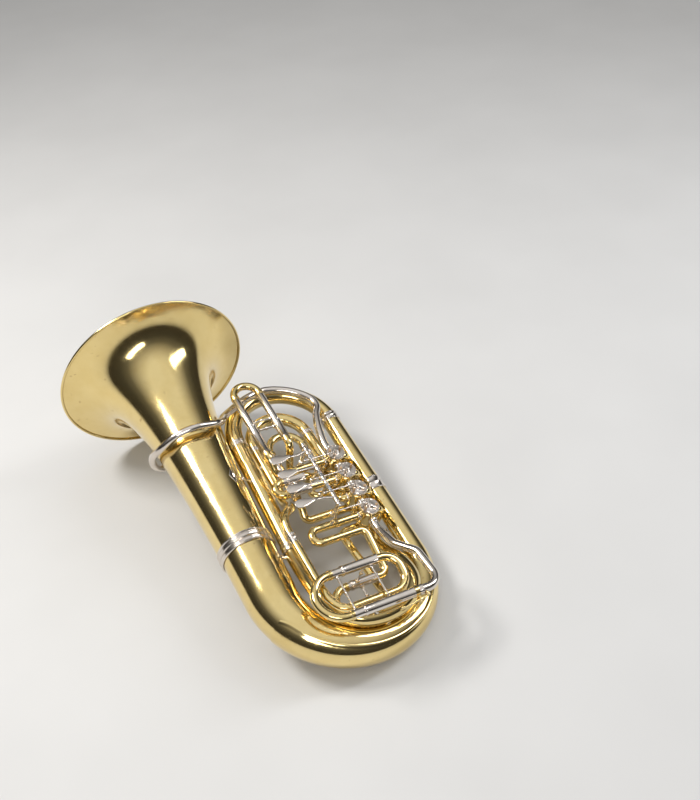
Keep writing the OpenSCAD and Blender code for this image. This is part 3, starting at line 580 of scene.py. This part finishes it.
def leadpipe():
    points = [(20, 392, -80), (-27, 384, -76), (-64, 372, -48), (-79, 358, 0), (-69, 344, 38),
              (-42, 341, 67), (-7, 339, 79), (33, 341, 73), (52, 353, 60), (70, 376, 43),
              (105, 404, 28), (140, 421, 26), (181, 427, 26), (224, 411, 26), (254, 383, 26),
              (259, 356, 27), (246, 332, 29), (235, 300, 30), (VALVE_X, 262, 30),
              (VALVE_X, 238, 30)]
    path = spline(points, 12)
    make("leadpipe", tube(path, [lerp(6.4, 7.5, min(1, 2 * k / (len(path) - 1)))
                                 for k in range(len(path))], 40, WALL))
    d = Vector((47, 8, -4)).normalized()
    out = [(7.2, 0), (8.2, 0.6), (8.4, 5.2)]
    for k in range(9):
        out.append((8.4 + 1.3 * math.sin(math.pi * k / 8), 5.4 + 4.2 * k / 8))
    out += [(8.4, 10.0), (8.5, 14), (8.7, 26), (9.0, 40), (9.1, 44.8)]
    for k in range(9):
        out.append((9.1 + 1.2 * math.sin(math.pi * k / 8), 45.2 + 2.8 * k / 8))
    out += [(9.0, 48.3)]
    for k in range(9):
        out.append((8.8 + 1.4 * math.sin(math.pi * k / 8), 48.6 + 3.4 * k / 8))
    out += [(7.1, 52), (6.9, 51.6), (6.9, 18.0), (5.6, 18.0), (5.6, 0)]
    make("mouthpiece_receiver", lathe(out, points[0], d, 64), sharp=45)


bell()
bottom_bow()
branches()
leadpipe()


# ---- valves ----
VALVES = range(4)


def valve_y(i):
    return VALVE_Y - PITCH * i


def casing_shape(i):
    """A hollow casing with a bead at both ends."""
    p = (VALVE_X, valve_y(i), 12)
    out = [(17.2, 0), (17.5, 0.4), (17.5, 1.6), (17.0, 2.1), (17.0, 3.0)]
    out += [(17.5, 3.4), (17.5, 32.4), (17.0, 32.9), (17.0, 33.6), (17.5, 34.2), (17.5, 35.6),
            (17.2, 36.0)]
    return lathe(round_profile(out, 15.05), p, Z, 96)


def cap_shape(i):
    """The bottom cap: knurled edge, stepped face, centre boss."""
    sides = 144
    p = Vector((VALVE_X, valve_y(i), 8))
    rim = []
    for k in range(sides):
        a = 2 * math.pi * k / sides
        rim.append((math.cos(a), math.sin(a), 0.35 if k % 2 else 0.0))
    rows = [(5.0, -1.0, 0), (5.0, 0.0, 0), (13.0, 0.0, 0), (13.6, 0.6, 0), (15.6, 0.6, 0),
            (16.2, 0.0, 0), (18.0, 0.3, 1), (18.4, 0.8, 1), (18.4, 3.4, 1), (18.0, 4.0, 1),
            (17.4, 4.0, 0)]
    verts, faces = [p + Vector((0, 0, -1.0))], []
    for r, h, knurl in rows:
        for c, s, cut in rim:
            q = r - cut * knurl
            verts.append(p + Vector((c * q, s * q, h)))
    verts.append(p + Vector((0, 0, 4.0)))
    for k in range(sides):
        m = (k + 1) % sides
        faces.append((0, 1 + m, 1 + k))
        faces.append((1 + (len(rows) - 1) * sides + k, 1 + (len(rows) - 1) * sides + m,
                      len(verts) - 1))
        for j in range(len(rows) - 1):
            a, b = 1 + j * sides, 1 + (j + 1) * sides
            faces.append((a + k, a + m, b + m, b + k))
    return verts, faces


def bearing_shapes(i):
    p = (VALVE_X, valve_y(i), 48)
    out = [(3.1, 0), (17.3, 0), (17.5, 0.3), (17.5, 2.4), (17.0, 3.0), (15.4, 3.0), (15.0, 2.6),
           (14.6, 2.6), (14.2, 3.0), (7.4, 3.0), (6.6, 3.2), (6.0, 3.9), (6.0, 4.3), (5.6, 4.6),
           (3.1, 4.6)]
    shapes = [lathe(out, p, Z, 96)]
    side = 0 if i < 2 else 180
    for a in (side - 62, side + 62):
        x = VALVE_X + 14.2 * math.cos(math.radians(180 + a))
        y = valve_y(i) + 14.2 * math.sin(math.radians(180 + a))
        if abs(y - valve_y(i)) > 3:
            shapes.append(slot_head((x, y, 50.9), Z, 1.7, 0.9))
    return shapes


def knuckle(a, b, bore):
    a, b = vec(a), vec(b)
    h = (b - a).length
    if h < 6:
        out = [(8.3, 0), (8.8, 0.8), (8.8, h - 0.8), (8.3, h)]
    else:
        out = [(8.5, 0), (8.8, 0.5), (8.8, 2.2), (8.4, 2.8), (8.4, h - 2.8), (8.8, h - 2.2),
               (8.8, h - 0.5), (8.5, h)]
    return lathe(round_profile(out, bore), a, b - a, 48)


CORK_RING = 11.5


def tab_angle(i):
    return 45 if i < 2 else -45


def valves():
    make("valve_casings", *[casing_shape(i) for i in VALVES], sharp=40)
    make("valve_caps", *[cap_shape(i) for i in VALVES], sharp=40)
    make("bearing_plates", *[s for i in VALVES for s in bearing_shapes(i)], sharp=40)
    gap = PITCH - 35.0
    shapes = [knuckle((VALVE_X, valve_y(i) - 17.3, 30), (VALVE_X, valve_y(i) - 17.7 - gap, 30), 6.7)
              for i in range(3)]
    shapes.append(knuckle((VALVE_X, valve_y(0) + 17.3, 30), (VALVE_X, 246, 30), 7.6))
    shapes.append(knuckle((VALVE_X, valve_y(3) - 17.3, 30), (VALVE_X, 56, 30), 7.6))
    shapes += [knuckle((209.7, valve_y(i), 30), (204.5, valve_y(i), 30), 7.6) for i in VALVES]
    make("valve_knuckles", *shapes, sharp=40)
    corks = []
    for i in VALVES:
        s = 1 if i < 2 else -1
        for a in (tab_angle(i) - s * 26, tab_angle(i) + s * 90 + s * 26):
            p = (VALVE_X + CORK_RING * math.cos(math.radians(a)),
                 valve_y(i) + CORK_RING * math.sin(math.radians(a)), 51)
            corks.append(lathe([(0, 0), (2.4, 0), (2.45, 0.4), (2.4, 5.2), (2.0, 5.8), (0, 6.0)],
                               p, Z, 28, closed=False))
    make("cork_bumpers", *corks, sharp=50)
    for i in VALVES:
        make(f"stop_arm_{i + 1}", *stop_arm(i), sharp=36)


PRESS = 18.0
ARM_Z = 53.0
LINK_Z = 58.8
HINGE = (155.0, 92.0)
CRANK = HINGE[1] - LINK_Z
PIN_RHO = CRANK * math.sin(math.radians(PRESS / 2)) / math.sin(math.radians(45))


def stop_arm(i):
    spin = Matrix.Translation((VALVE_X, valve_y(i), 0)) @ Matrix.Rotation(
        math.radians(tab_angle(i)), 4, "Z")
    outline = circle(CORK_RING + 1.4 - 2.0, 0, 2.0, 9, -90, 90)
    outline += [(5.6, 2.0), (4.5, 2.6)] + circle(0, 0, 5.0, 9, 38, 118)
    outline += [(-PIN_RHO + 1.6, 2.3)] + circle(-PIN_RHO, 0, 2.8, 13, 90, 270)
    outline += [(-PIN_RHO + 1.6, -2.3)] + circle(0, 0, 5.0, 9, 242, 322)
    outline += [(4.5, -2.6), (5.6, -2.0)]
    bar = bevelled_plate(outline, ARM_Z, ARM_Z + 3.4, 0.45)
    pin = lathe([(0, 0), (1.2, 0), (1.2, 4.5), (0.9, 5.0), (0, 5.0)],
                (-PIN_RHO, 0, ARM_Z + 3.2), Z, 24, closed=False)
    head = slot_head((0, 0, ARM_Z + 3.35), Z, 4.0, 0.55)
    return [moved(bar, spin), moved(pin, spin), moved(head, spin)]


def bevelled_plate(outline, z0, z1, bevel, dome=0.0):
    """A plate whose upper and lower edges are rounded off."""
    n = len(outline)
    cx = sum(q[0] for q in outline) / n
    cy = sum(q[1] for q in outline) / n
    normals = []
    for k in range(n):
        a, b = outline[k - 1], outline[(k + 1) % n]
        t = Vector((b[0] - a[0], b[1] - a[1]))
        t = t.normalized() if t.length > 1e-9 else Vector((1, 0))
        normals.append(Vector((t.y, -t.x)))
    area = sum(outline[k - 1][0] * outline[k][1] - outline[k][0] * outline[k - 1][1]
               for k in range(n))
    flip = 1 if area > 0 else -1
    rows = []
    for k in range(4):
        a = math.pi / 2 * k / 3
        rows.append((bevel * (1 - math.sin(a)), z0 + bevel * (1 - math.cos(a))))
    for k in range(4):
        a = math.pi / 2 * k / 3
        rows.append((bevel * (1 - math.cos(a)), z1 - bevel * (1 - math.sin(a))))
    verts, faces = [], []
    for inset, z in rows:
        for k in range(n):
            q = Vector(outline[k]) - normals[k] * flip * inset
            verts.append(Vector((q.x, q.y, z)))
    for j in range(len(rows) - 1):
        for k in range(n):
            m = (k + 1) % n
            faces.append((j * n + k, j * n + m, (j + 1) * n + m, (j + 1) * n + k))
    faces.append(tuple(reversed(range(n))))
    base = (len(rows) - 1) * n
    if dome:
        for j in range(1, 6):
            s = 1 - j / 6
            for k in range(n):
                q = verts[base + k]
                verts.append(Vector((cx + (q.x - cx) * s, cy + (q.y - cy) * s,
                                     z1 + dome * (1 - s * s))))
            low = base + (j - 1) * n
            for k in range(n):
                m = (k + 1) % n
                faces.append((low + k, low + m, low + n + m, low + n + k))
        verts.append(Vector((cx, cy, z1 + dome)))
        low = base + 5 * n
        for k in range(n):
            faces.append((low + k, low + (k + 1) % n, len(verts) - 1))
    else:
        faces.append(tuple(base + k for k in range(n)))
    return verts, faces


# ---- levers, links and springs ----
BARRELS = [(199, 216), (160, 178), (128, 144), (83.5, 107)]
SPRINGS = [(190, 198), (148, 158), (117, 127), (108, 116)]


def plate_y(i):
    return 204.0 - 34.0 * i


def pin_y(i):
    s = -1 if i < 2 else 1
    return valve_y(i) + s * PIN_RHO * math.cos(math.radians(45))


def strap(path, width, thick, side):
    """A flat bar with rounded edges along a path; side is the direction of its width."""
    p = [vec(q) for q in path]
    n = len(p)
    verts, faces = [], []
    section = []
    r = min(thick, width) * 0.42
    for cx, cy, a0 in ((width / 2 - r, thick / 2 - r, 0), (-width / 2 + r, thick / 2 - r, 90),
                       (-width / 2 + r, -thick / 2 + r, 180), (width / 2 - r, -thick / 2 + r, 270)):
        for k in range(4):
            a = math.radians(a0 + 30 * k)
            section.append((cx + r * math.cos(a), cy + r * math.sin(a)))
    m = len(section)
    for i in range(n):
        t = (p[min(i + 1, n - 1)] - p[max(i - 1, 0)]).normalized()
        u = (side - t * side.dot(t)).normalized()
        w = t.cross(u)
        for a, b in section:
            verts.append(p[i] + u * a + w * b)
    for i in range(n - 1):
        for k in range(m):
            j = (k + 1) % m
            faces.append((i * m + k, i * m + j, (i + 1) * m + j, (i + 1) * m + k))
    faces.append(tuple(reversed(range(m))))
    faces.append(tuple((n - 1) * m + k for k in range(m)))
    return verts, faces


def lever(i):
    hx, hz = HINGE
    y0, y1 = BARRELS[i]
    mid = (y0 + y1) / 2
    py = plate_y(i)
    h = y1 - y0
    out = [(4.0, 0), (4.25, 0.4), (4.25, 1.6), (3.8, 2.1), (3.8, h - 2.1), (4.25, h - 1.6),
           (4.25, h - 0.4), (4.0, h)]
    barrel = lathe(round_profile(out, 2.05), (hx, y0, hz), Y, 40)
    arm = spline([(hx - 2, lerp(mid, py, 0.1), hz + 3.0), (hx - 10, lerp(mid, py, 0.35), hz + 2.4),
                  (hx - 20, lerp(mid, py, 0.9), hz + 2.2), (hx - 29, py, hz + 3.0),
                  (hx - 38, py, hz + 3.9), (hx - 52, py, hz + 3.7)], 8)
    bar = strap(arm, 4.6, 2.4, Y)
    half = []
    for k in range(25):
        u = k / 24
        half.append((hx - 34 - 28 * u, 2.9 + 6.0 * (3 * u * u - 2 * u ** 3) ** 0.9))
    for k in range(1, 19):
        a = math.radians(90 * k / 18)
        half.append((hx - 62 - 12.6 * math.sin(a) ** 0.9, 8.9 * math.cos(a) ** 0.72))
    outline = [(x, py + w) for x, w in half] + [(x, py - w) for x, w in half[-2::-1]]
    finger = bevelled_plate(outline, hz + 4.0, hz + 6.0, 0.7, dome=0.7)
    tilt = Matrix.Translation((hx, 0, hz)) @ Matrix.Rotation(math.radians(PRESS / 2), 4, "Y")
    top = [(0, 0, -3.4), (0, 0, -9), (0, 0, -18), (0, 0, -CRANK + 4), (0, 0, -CRANK - 2.2)]
    crank = strap([Vector((q[0], pin_y(i) - 4.3, q[2])) for q in densify([vec(t) for t in top], 3)],
                  4.8, 2.4, X)
    eye = lathe([(0, 0), (3.1, 0), (3.3, 0.4), (3.3, 2.2), (3.1, 2.6), (0, 2.6)],
                (0, pin_y(i) - 5.6, -CRANK), Y, 32, closed=False)
    pin = lathe([(0, 0), (1.2, 0), (1.2, 5.7), (0.9, 6.0), (0, 6.0)], (0, pin_y(i) - 3.2, -CRANK),
                Y, 24, closed=False)
    near = min(max(pin_y(i) - 4.3, y0 + 1), y1 - 1)
    bridge = strap([Vector((0, near, -3.2)), Vector((0, lerp(near, pin_y(i) - 4.3, 0.5), -4.4)),
                    Vector((0, pin_y(i) - 4.3, -5.4))], 4.8, 2.6, X)
    shapes = [barrel, bar, finger, moved(crank, tilt), moved(eye, tilt), moved(pin, tilt)]
    if abs(near - (pin_y(i) - 4.3)) > 0.5:
        shapes.append(moved(bridge, tilt))
    shapes.append(slot_head((hx - 40, py, hz + 6.3), Z, 1.3, 0.5))
    make(f"lever_{i + 1}", *shapes, sharp=38)


def link(i):
    s = -1 if i < 2 else 1
    x0 = HINGE[0] - CRANK * math.sin(math.radians(PRESS / 2))
    x1 = VALVE_X - PIN_RHO * math.sin(math.radians(45))
    slot = PIN_RHO * (1 - math.cos(math.radians(45)))
    y = pin_y(i)
    eye = lathe(round_profile([(3.1, -1.6), (3.4, -1.2), (3.4, 1.2), (3.1, 1.6)], 1.8),
                (x0, y, LINK_Z), Y, 36)
    body = tube([(x0 + 2.9, y, LINK_Z), (x0 + 8, y, LINK_Z), (x1 - 8, y, LINK_Z),
                 (x1 - 3, y, LINK_Z)], 1.5, 24, 0)
    sleeves = []
    for a, b in ((x0 + 3.2, x0 + 10), (x1 - 11, x1 - 3.6)):
        sleeves.append(lathe([(0, 0), (2.0, 0), (2.2, 0.4), (2.2, b - a - 0.4), (2.0, b - a),
                              (0, b - a)], (a, y, LINK_Z), X, 24, closed=False))
    nut = lathe([(0, 0), (2.7, 0), (2.7, 2.2), (0, 2.2)], (x0 + 10.2, y, LINK_Z), X, 6,
                closed=False)

    def ring(r):
        far = y + s * (slot + 0.6 if r > 2.5 else slot)
        lo, hi = min(y, far), max(y, far)
        return circle(x1, hi, r, 17, 0, 180) + circle(x1, lo, r, 17, 180, 360)

    outer, inner = ring(3.6), ring(1.8)
    n = len(outer)
    rows = [(outer, 0, -1.1), (outer, 0.35, -1.5), (inner, 0, -1.5), (inner, 0, 1.5),
            (outer, 0.35, 1.5), (outer, 0, 1.1)]
    verts, faces = [], []
    cx, cy = x1, y + s * slot / 2
    for line, inset, z in rows:
        for q in line:
            d = Vector((q[0] - cx, q[1] - cy))
            d = d - d.normalized() * inset
            verts.append(Vector((cx + d.x, cy + d.y, LINK_Z + z)))
    for j in range(len(rows)):
        for k in range(n):
            m = (k + 1) % n
            a, b = j * n, ((j + 1) % len(rows)) * n
            faces.append((a + k, a + m, b + m, b + k))
    make(f"link_{i + 1}", eye, body, *sleeves, nut, (verts, faces), sharp=36)


def coil(y0, y1, turns=6.5, r=3.1, wire=0.55):
    hx, hz = HINGE
    pts = []
    n = int(turns * 20)
    for k in range(n + 1):
        a = 2 * math.pi * turns * k / n
        pts.append((hx + r * math.cos(a), lerp(y0 + 0.6, y1 - 0.6, k / n), hz + r * math.sin(a)))
    return tube(pts, wire, 10, 0)


def linkage():
    for i in VALVES:
        lever(i)
        link(i)
    make("lever_springs", *[coil(*s) for s in SPRINGS], sharp=60)
    hx, hz = HINGE
    rod = lathe([(0, 0), (1.7, 0), (2.0, 0.4), (2.0, 149), (3.0, 149), (3.2, 149.4), (3.2, 150.6),
                 (2.9, 151), (0, 151)], (hx, 76, hz), Y, 32, closed=False)
    make("hinge_rod", rod, slot_head((hx, 226.8, hz), Y, 2.7, 0.6), sharp=40)
    posts = []
    for y in (218.4, 79):
        outline = circle(0, 92, 4.6, 25, -45, 225)
        outline += [(-2.4, 84), (-2.2, 60), (-3.2, 46), (-8, 40.5), (-8, 36.5)]
        outline += [(8, 36.5), (8, 40.5), (3.2, 46), (2.2, 60), (2.4, 84)]
        flat = bevelled_plate(outline, 0, 3, 0.4)
        stand = Matrix.Translation((hx, y + 3, 0)) @ Matrix.Rotation(math.radians(90), 4, "X")
        posts.append(moved(flat, stand))
    make("hinge_posts", *posts, sharp=36)


# ---- valve tubing and slides ----
R_TUBE = 7.5
JOIN_X = 234.98


def pipe(points, bend, r=R_TUBE):
    return tube(densify(bent(points, bend, 5), 14), r, 36, WALL)


def way_round(i):
    y = valve_y(i)
    x = 253.5
    return pipe([(x - 8.8, y, 30), (x, y, 30), (x, y, -6), (235, y, -6)], 8.8)


def valve_tubes():
    v = [valve_y(i) for i in VALVES]
    shapes = [way_round(i) for i in VALVES]
    shapes.append(pipe([(209.3, v[0], 30), (108, v[0], 30), (102, 246, 55), (102, 262, 55)], 13))
    shapes.append(pipe([(JOIN_X, v[0], -6), (172, v[0], -6), (152, 246, -6), (152, 262, 55),
                        (152, 285, 55)], 13))
    shapes.append(pipe([(209.3, v[1], 30), (150, v[1], 30)], 12))
    shapes.append(pipe([(JOIN_X, v[1], -6), (168, v[1], -6), (168, 200, -6), (168, 200, 30),
                        (150, 200, 30)], 12))
    shapes.append(pipe([(209.3, v[2], 30), (196, v[2], 30), (196, 152, 12), (196, 175, 12)], 9))
    shapes.append(pipe([(JOIN_X, v[2], -6), (128, v[2], -6), (128, 152, 12), (128, 175, 12)], 12))
    shapes.append(pipe([(209.3, v[3], 30), (108, v[3], 30), (108, 54, 30), (205, 54, 30),
                        (205, -34, 12), (180, -34, 12)], 13))
    shapes.append(pipe([(JOIN_X, v[3], -6), (176, v[3], -6), (188, -50, -6), (190, -88, 12),
                        (165, -88, 12)], 13))
    make("valve_tubes", *shapes, sharp=50)
    make("exit_pipe", pipe([(VALVE_X, v[3] - 18, 30), (VALVE_X, 44, 30), (228, -5, 50),
                            (246, -45, 72), (246, -121, 84), (205, -121, 84)], 27), sharp=50)


def sleeve(a, b):
    a, b = vec(a), vec(b)
    h = (b - a).length
    out = [(8.9, 0), (9.3, 0.4), (9.3, 1.3), (8.9, 1.8), (9.2, 2.2), (9.3, 3.0), (9.2, 3.8),
           (8.6, 4.4), (8.6, h - 2.6), (8.9, h - 2.2), (8.9, h - 0.5), (8.4, h)]
    return lathe(round_profile(out, 7.56), a, b - a, 44)


def sleeves():
    shapes = [sleeve((102, 324, 55), (102, 256, 55)), sleeve((152, 324, 55), (152, 279, 55))]
    shapes += [sleeve((118, y, 30), (155, y, 30)) for y in (173, 200)]
    shapes += [sleeve((x, 262, 12), (x, 168, 12)) for x in (128, 196)]
    shapes.append(sleeve((132, -34, 12), (186, -34, 12)))
    shapes.append(sleeve((132, -88, 12), (171, -88, 12)))
    shapes.append(sleeve((97, -40, 84), (166, -40, 84)))
    shapes.append(sleeve((97, -121, 84), (209, -121, 84)))
    make("slide_sleeves", *shapes, sharp=40)


def leg(a, b):
    a, b = vec(a), vec(b)
    h = (b - a).length
    out = [(7.3, 0), (7.5, 0.4), (7.5, h - 0.1), (7.45, h)]
    return lathe(round_profile(out, 6.7), a, b - a, 44)


def crook(a, b, d):
    a, b, d = vec(a), vec(b), vec(d)
    n = (b - a).normalized()
    bend = (b - a).length / 2
    mid = (a + b) / 2
    pts = [mid - n * bend * math.cos(t) + d * bend * math.sin(t)
           for t in [math.pi * k / 56 for k in range(57)]]
    shapes = [tube(pts, R_TUBE, 44, WALL)]
    for p in (a, b):
        out = [(7.9, 0), (8.5, 0.4), (8.6, 1.2), (8.0, 1.9), (8.0, 3.9), (8.6, 4.6), (8.5, 5.4),
               (7.9, 5.9)]
        shapes.append(lathe(round_profile(out, 7.52), p - d * 6, d, 44))
    return shapes


def slides():
    make("slide_1_legs", leg((102, 270, 55), (102, 402, 55)), leg((152, 290, 55), (152, 402, 55)),
         turned_rod((109.4, 333, 55), (144.6, 333, 55), 1.8, 2.0), sharp=40)
    make("slide_1_bow", *crook((102, 402, 55), (152, 402, 55), Y), sharp=40)
    make("slide_2_legs", *[leg((147, y, 30), (105, y, 30)) for y in (173, 200)], sharp=40)
    make("slide_2_bow", *crook((105, 173, 30), (105, 200, 30), -X), sharp=40)
    make("slide_3_legs", *[leg((x, 183, 12), (x, 283, 12)) for x in (128, 196)], sharp=40)
    make("slide_3_bow", *crook((128, 283, 12), (196, 283, 12), Y), sharp=40)
    make("slide_4_legs", *[leg((162, y, 12), (120, y, 12)) for y in (-34, -88)], sharp=40)
    make("slide_4_bow", *crook((120, -88, 12), (120, -34, 12), -X), sharp=40)
    make("main_slide_legs", *[leg((155, y, 84), (73, y, 84)) for y in (-40, -121)],
         turned_rod((86, -113.6, 84), (86, -47.4, 84), 1.8, 2.0), sharp=40)
    make("main_slide_bow", *crook((73, -121, 84), (73, -40, 84), -X), sharp=40)


def braces():
    make("branch_braces", turned_rod((26, 235, 47), (66, 235, 14), 2),
         turned_rod((44, 60, 14), (60, 60, 12), 3), turned_rod((94, 270, -1), (102, 270, -5), 2),
         turned_rod((237, 262, -14), (265, 262, -3), 2),
         turned_rod((251, 60, -24), (265, 60, -12), 2),
         turned_rod((150, -126, 33), (150, -131, 27), 3, thick=1.0), stem_foot(), sharp=40)
    s = 8.6
    make("slide_braces", turned_rod((102 + s, 312, 55), (152 - s, 312, 55), 2),
         turned_rod((132, 173 + s, 30), (132, 200 - s, 30), 2),
         turned_rod((128 + s, 232, 12), (196 - s, 232, 12), 2),
         turned_rod((150, -34 - s, 12), (150, -88 + s, 12), 2),
         turned_rod((150, -40 - s, 84), (150, -121 + s, 84), 2),
         turned_rod((144, -40, 84 - s), (144, -34, 12 + s), 2),
         turned_rod((125, -121, 84 - s - 0.1), (125, -119.5, 61.5), 2), sharp=40)


def stem_foot():
    """The diamond-shaped foot of the stem's brace, curved to the stem."""
    verts, faces = [], []
    n = 20
    centre = math.degrees(math.atan2(47, 26))
    for lift in (0.9, -0.2):
        for i in range(n + 1):
            for j in range(n + 1):
                u, v = 2 * i / n - 1, 2 * j / n - 1
                y = 235 + 17 * (u + v) / 2
                a = math.radians(centre + 9.5 * (u - v) / 2)
                edge = max(abs(u), abs(v))
                r = bell_r(y) + (lift - (0.5 * edge ** 8 if lift > 0 else 0))
                verts.append(Vector((r * math.cos(a), y, r * math.sin(a))))
    m = (n + 1) ** 2
    for i in range(n):
        for j in range(n):
            a, b = i * (n + 1) + j, (i + 1) * (n + 1) + j
            faces.append((a, a + 1, b + 1, b))
            faces.append((m + a, m + b, m + b + 1, m + a + 1))
    for k in range(n):
        for a, b in ((k, k + 1), (n * (n + 1) + k + 1, n * (n + 1) + k)):
            faces.append((b, a, m + a, m + b))
        for a, b in (((k + 1) * (n + 1), k * (n + 1)), (k * (n + 1) + n, (k + 1) * (n + 1) + n)):
            faces.append((b, a, m + a, m + b))
    return verts, faces


# ---- water key ----
KEY = Vector((196, -136.5, 84))


def water_key():
    pad_x, nipple = 212, -132.0
    saddle = lathe(round_profile([(9.4, -4), (9.8, -3.6), (9.8, 3.6), (9.4, 4)], 8.6),
                   (KEY.x, -121, KEY.z), X, 44)
    shapes = [saddle]
    for s in (-1, 1):
        outline = circle(0, 0, 2.9, 17, 180, 360) + [(3, 6.2), (-3, 6.2)]
        ear = bevelled_plate(outline, -0.8, 0.8, 0.25)
        shapes.append(moved(ear, Matrix.Translation((KEY.x, KEY.y, KEY.z + s * 4.2))))
    shapes.append(lathe([(0, -5.4), (1.0, -5.4), (1.0, 5.4), (0, 5.4)], KEY, Z, 20, closed=False))
    shapes.append(slot_head((KEY.x, KEY.y, KEY.z + 5.0), Z, 1.7, 0.9))
    shapes.append(lathe([(1.8, 0), (2.9, 0), (3.3, 0.6), (3.3, 3.2), (1.8, 3.6)],
                        (pad_x, nipple, KEY.z), Y, 32))
    make("key_saddle", *shapes, sharp=40)
    make("water_key_pad", lathe([(0, 0), (3.6, 0), (3.8, 0.3), (3.8, 1.0), (3.6, 1.25), (0, 1.25)],
                                (pad_x, nipple - 1.3, KEY.z), Y, 40, closed=False), sharp=50)
    hub = lathe(round_profile([(2.4, -3), (2.6, -2.7), (2.6, 2.7), (2.4, 3)], 1.05), KEY, Z, 32)
    cup = lathe([(0, 0), (3.4, 0), (4.4, 0.5), (4.7, 1.3), (4.7, 2.1), (4.4, 2.28), (0, 2.28)],
                (pad_x, nipple - 3.6, KEY.z), Y, 40, closed=False)
    back = strap(spline([(KEY.x + 2, KEY.y + 0.4, 84), (KEY.x + 7, KEY.y + 0.9, 84),
                         (pad_x - 3, KEY.y + 0.9, 84), (pad_x, KEY.y + 1.0, 84)], 6), 3.6, 2.2, Z)
    front = strap(spline([(KEY.x - 1.5, KEY.y - 0.2, 84), (KEY.x - 9, KEY.y - 1.6, 84),
                          (KEY.x - 20, KEY.y - 3.4, 84), (160, KEY.y - 4.6, 84)], 8), 3.8, 2.2, Z)
    touch = lathe([(0, 0), (5.2, 0), (5.9, 0.4), (6.1, 1.0), (5.9, 1.7), (5.2, 2.2), (0, 1.7)],
                  (160, KEY.y - 6.1, KEY.z), Y, 48, closed=False)
    make("water_key", hub, cup, back, front, touch, sharp=40)


valves()
linkage()
valve_tubes()
sleeves()
slides()
braces()
water_key()

# ---- floor, light and camera ----
def stage_floor():
    nt, bsdf = node_tree("floor")
    coords = nt.nodes.new("ShaderNodeTexCoord").outputs["Object"]
    soft = noise_node(nt, coords, 3.0, 3.0, 0.5)
    colour = mixed(nt, ranged(nt, soft, 0.3, 0.7, 0.0, 1.0), (0.66, 0.655, 0.645, 1),
                   (0.63, 0.625, 0.615, 1))
    nt.links.new(colour, bsdf.inputs["Base Color"])
    bsdf.inputs["Roughness"].default_value = 0.75
    mesh = bpy.data.meshes.new("floor")
    mesh.from_pydata([(-6, -6, 0), (6, -6, 0), (6, 6, 0), (-6, 6, 0)], [], [(0, 1, 2, 3)])
    mesh.materials.append(MATERIALS["floor"])
    obj = bpy.data.objects.new("floor", mesh)
    obj.location.z = -0.0004
    bpy.context.scene.collection.objects.link(obj)


def area(name, place, target, size, power, colour=(1, 1, 1)):
    data = bpy.data.lights.new(name, "AREA")
    data.shape = "RECTANGLE"
    data.size, data.size_y = size
    data.energy = power
    data.color = colour
    obj = bpy.data.objects.new(name, data)
    obj.location = place
    obj.rotation_euler = (Vector(target) - Vector(place)).to_track_quat("-Z", "Y").to_euler()
    bpy.context.scene.collection.objects.link(obj)


def world():
    w = bpy.data.worlds.new("studio")
    bpy.context.scene.world = w
    w.use_nodes = True
    nt = w.node_tree
    nt.nodes.clear()
    out = nt.nodes.new("ShaderNodeOutputWorld")
    bg = nt.nodes.new("ShaderNodeBackground")
    coords = nt.nodes.new("ShaderNodeTexCoord")
    split = nt.nodes.new("ShaderNodeSeparateXYZ")
    ramp = nt.nodes.new("ShaderNodeValToRGB")
    nt.links.new(coords.outputs["Generated"], split.inputs[0])
    nt.links.new(split.outputs["Z"], ramp.inputs[0])
    ramp.color_ramp.elements[0].position = 0.0
    ramp.color_ramp.elements[0].color = (0.05, 0.045, 0.04, 1)
    ramp.color_ramp.elements[1].position = 0.92
    ramp.color_ramp.elements[1].color = (1.0, 1.0, 1.0, 1)
    for place, shade in ((0.30, 0.07), (0.52, 0.16), (0.70, 0.50)):
        stop = ramp.color_ramp.elements.new(place)
        stop.color = (shade, shade * 0.98, shade * 0.95, 1)
    nt.links.new(ramp.outputs[0], bg.inputs["Color"])
    bg.inputs["Strength"].default_value = 0.80
    nt.links.new(bg.outputs[0], out.inputs[0])


stage_floor()
world()
area("key", (-1.2, 1.2, 2.2), (0, 0, 0.1), (0.9, 0.7), 50, (1.0, 0.98, 0.95))
area("fill", (2.0, -0.4, 1.9), (0, 0, 0.1), (0.5, 1.6), 24, (0.95, 0.97, 1.0))
area("front", (-0.9, -2.2, 1.7), (0, 0, 0.1), (1.6, 0.4), 20)

EYE = Vector((-526.1, -773.4, 1448.1))
RIGHT = Vector((0.87149, -0.46354, 0.16011))
DOWN = Vector((-0.23946, -0.68714, -0.68593))
AHEAD = Vector((0.42797, 0.55944, -0.70984))
cam_data = bpy.data.cameras.new("camera")
cam_data.sensor_fit = "AUTO"
cam_data.sensor_width = 36
cam_data.lens = 44.95
cam_data.clip_start, cam_data.clip_end = 0.05, 50
camera = bpy.data.objects.new("camera", cam_data)
bpy.context.scene.collection.objects.link(camera)
axes = Matrix((TURN.to_3x3() @ RIGHT, TURN.to_3x3() @ -DOWN, TURN.to_3x3() @ -AHEAD)).transposed()
camera.matrix_world = Matrix.Translation(LAY @ EYE) @ axes.to_4x4()
bpy.context.scene.camera = camera
bpy.context.scene.view_settings.view_transform = "Standard"
bpy.context.scene.view_settings.exposure = 0.0
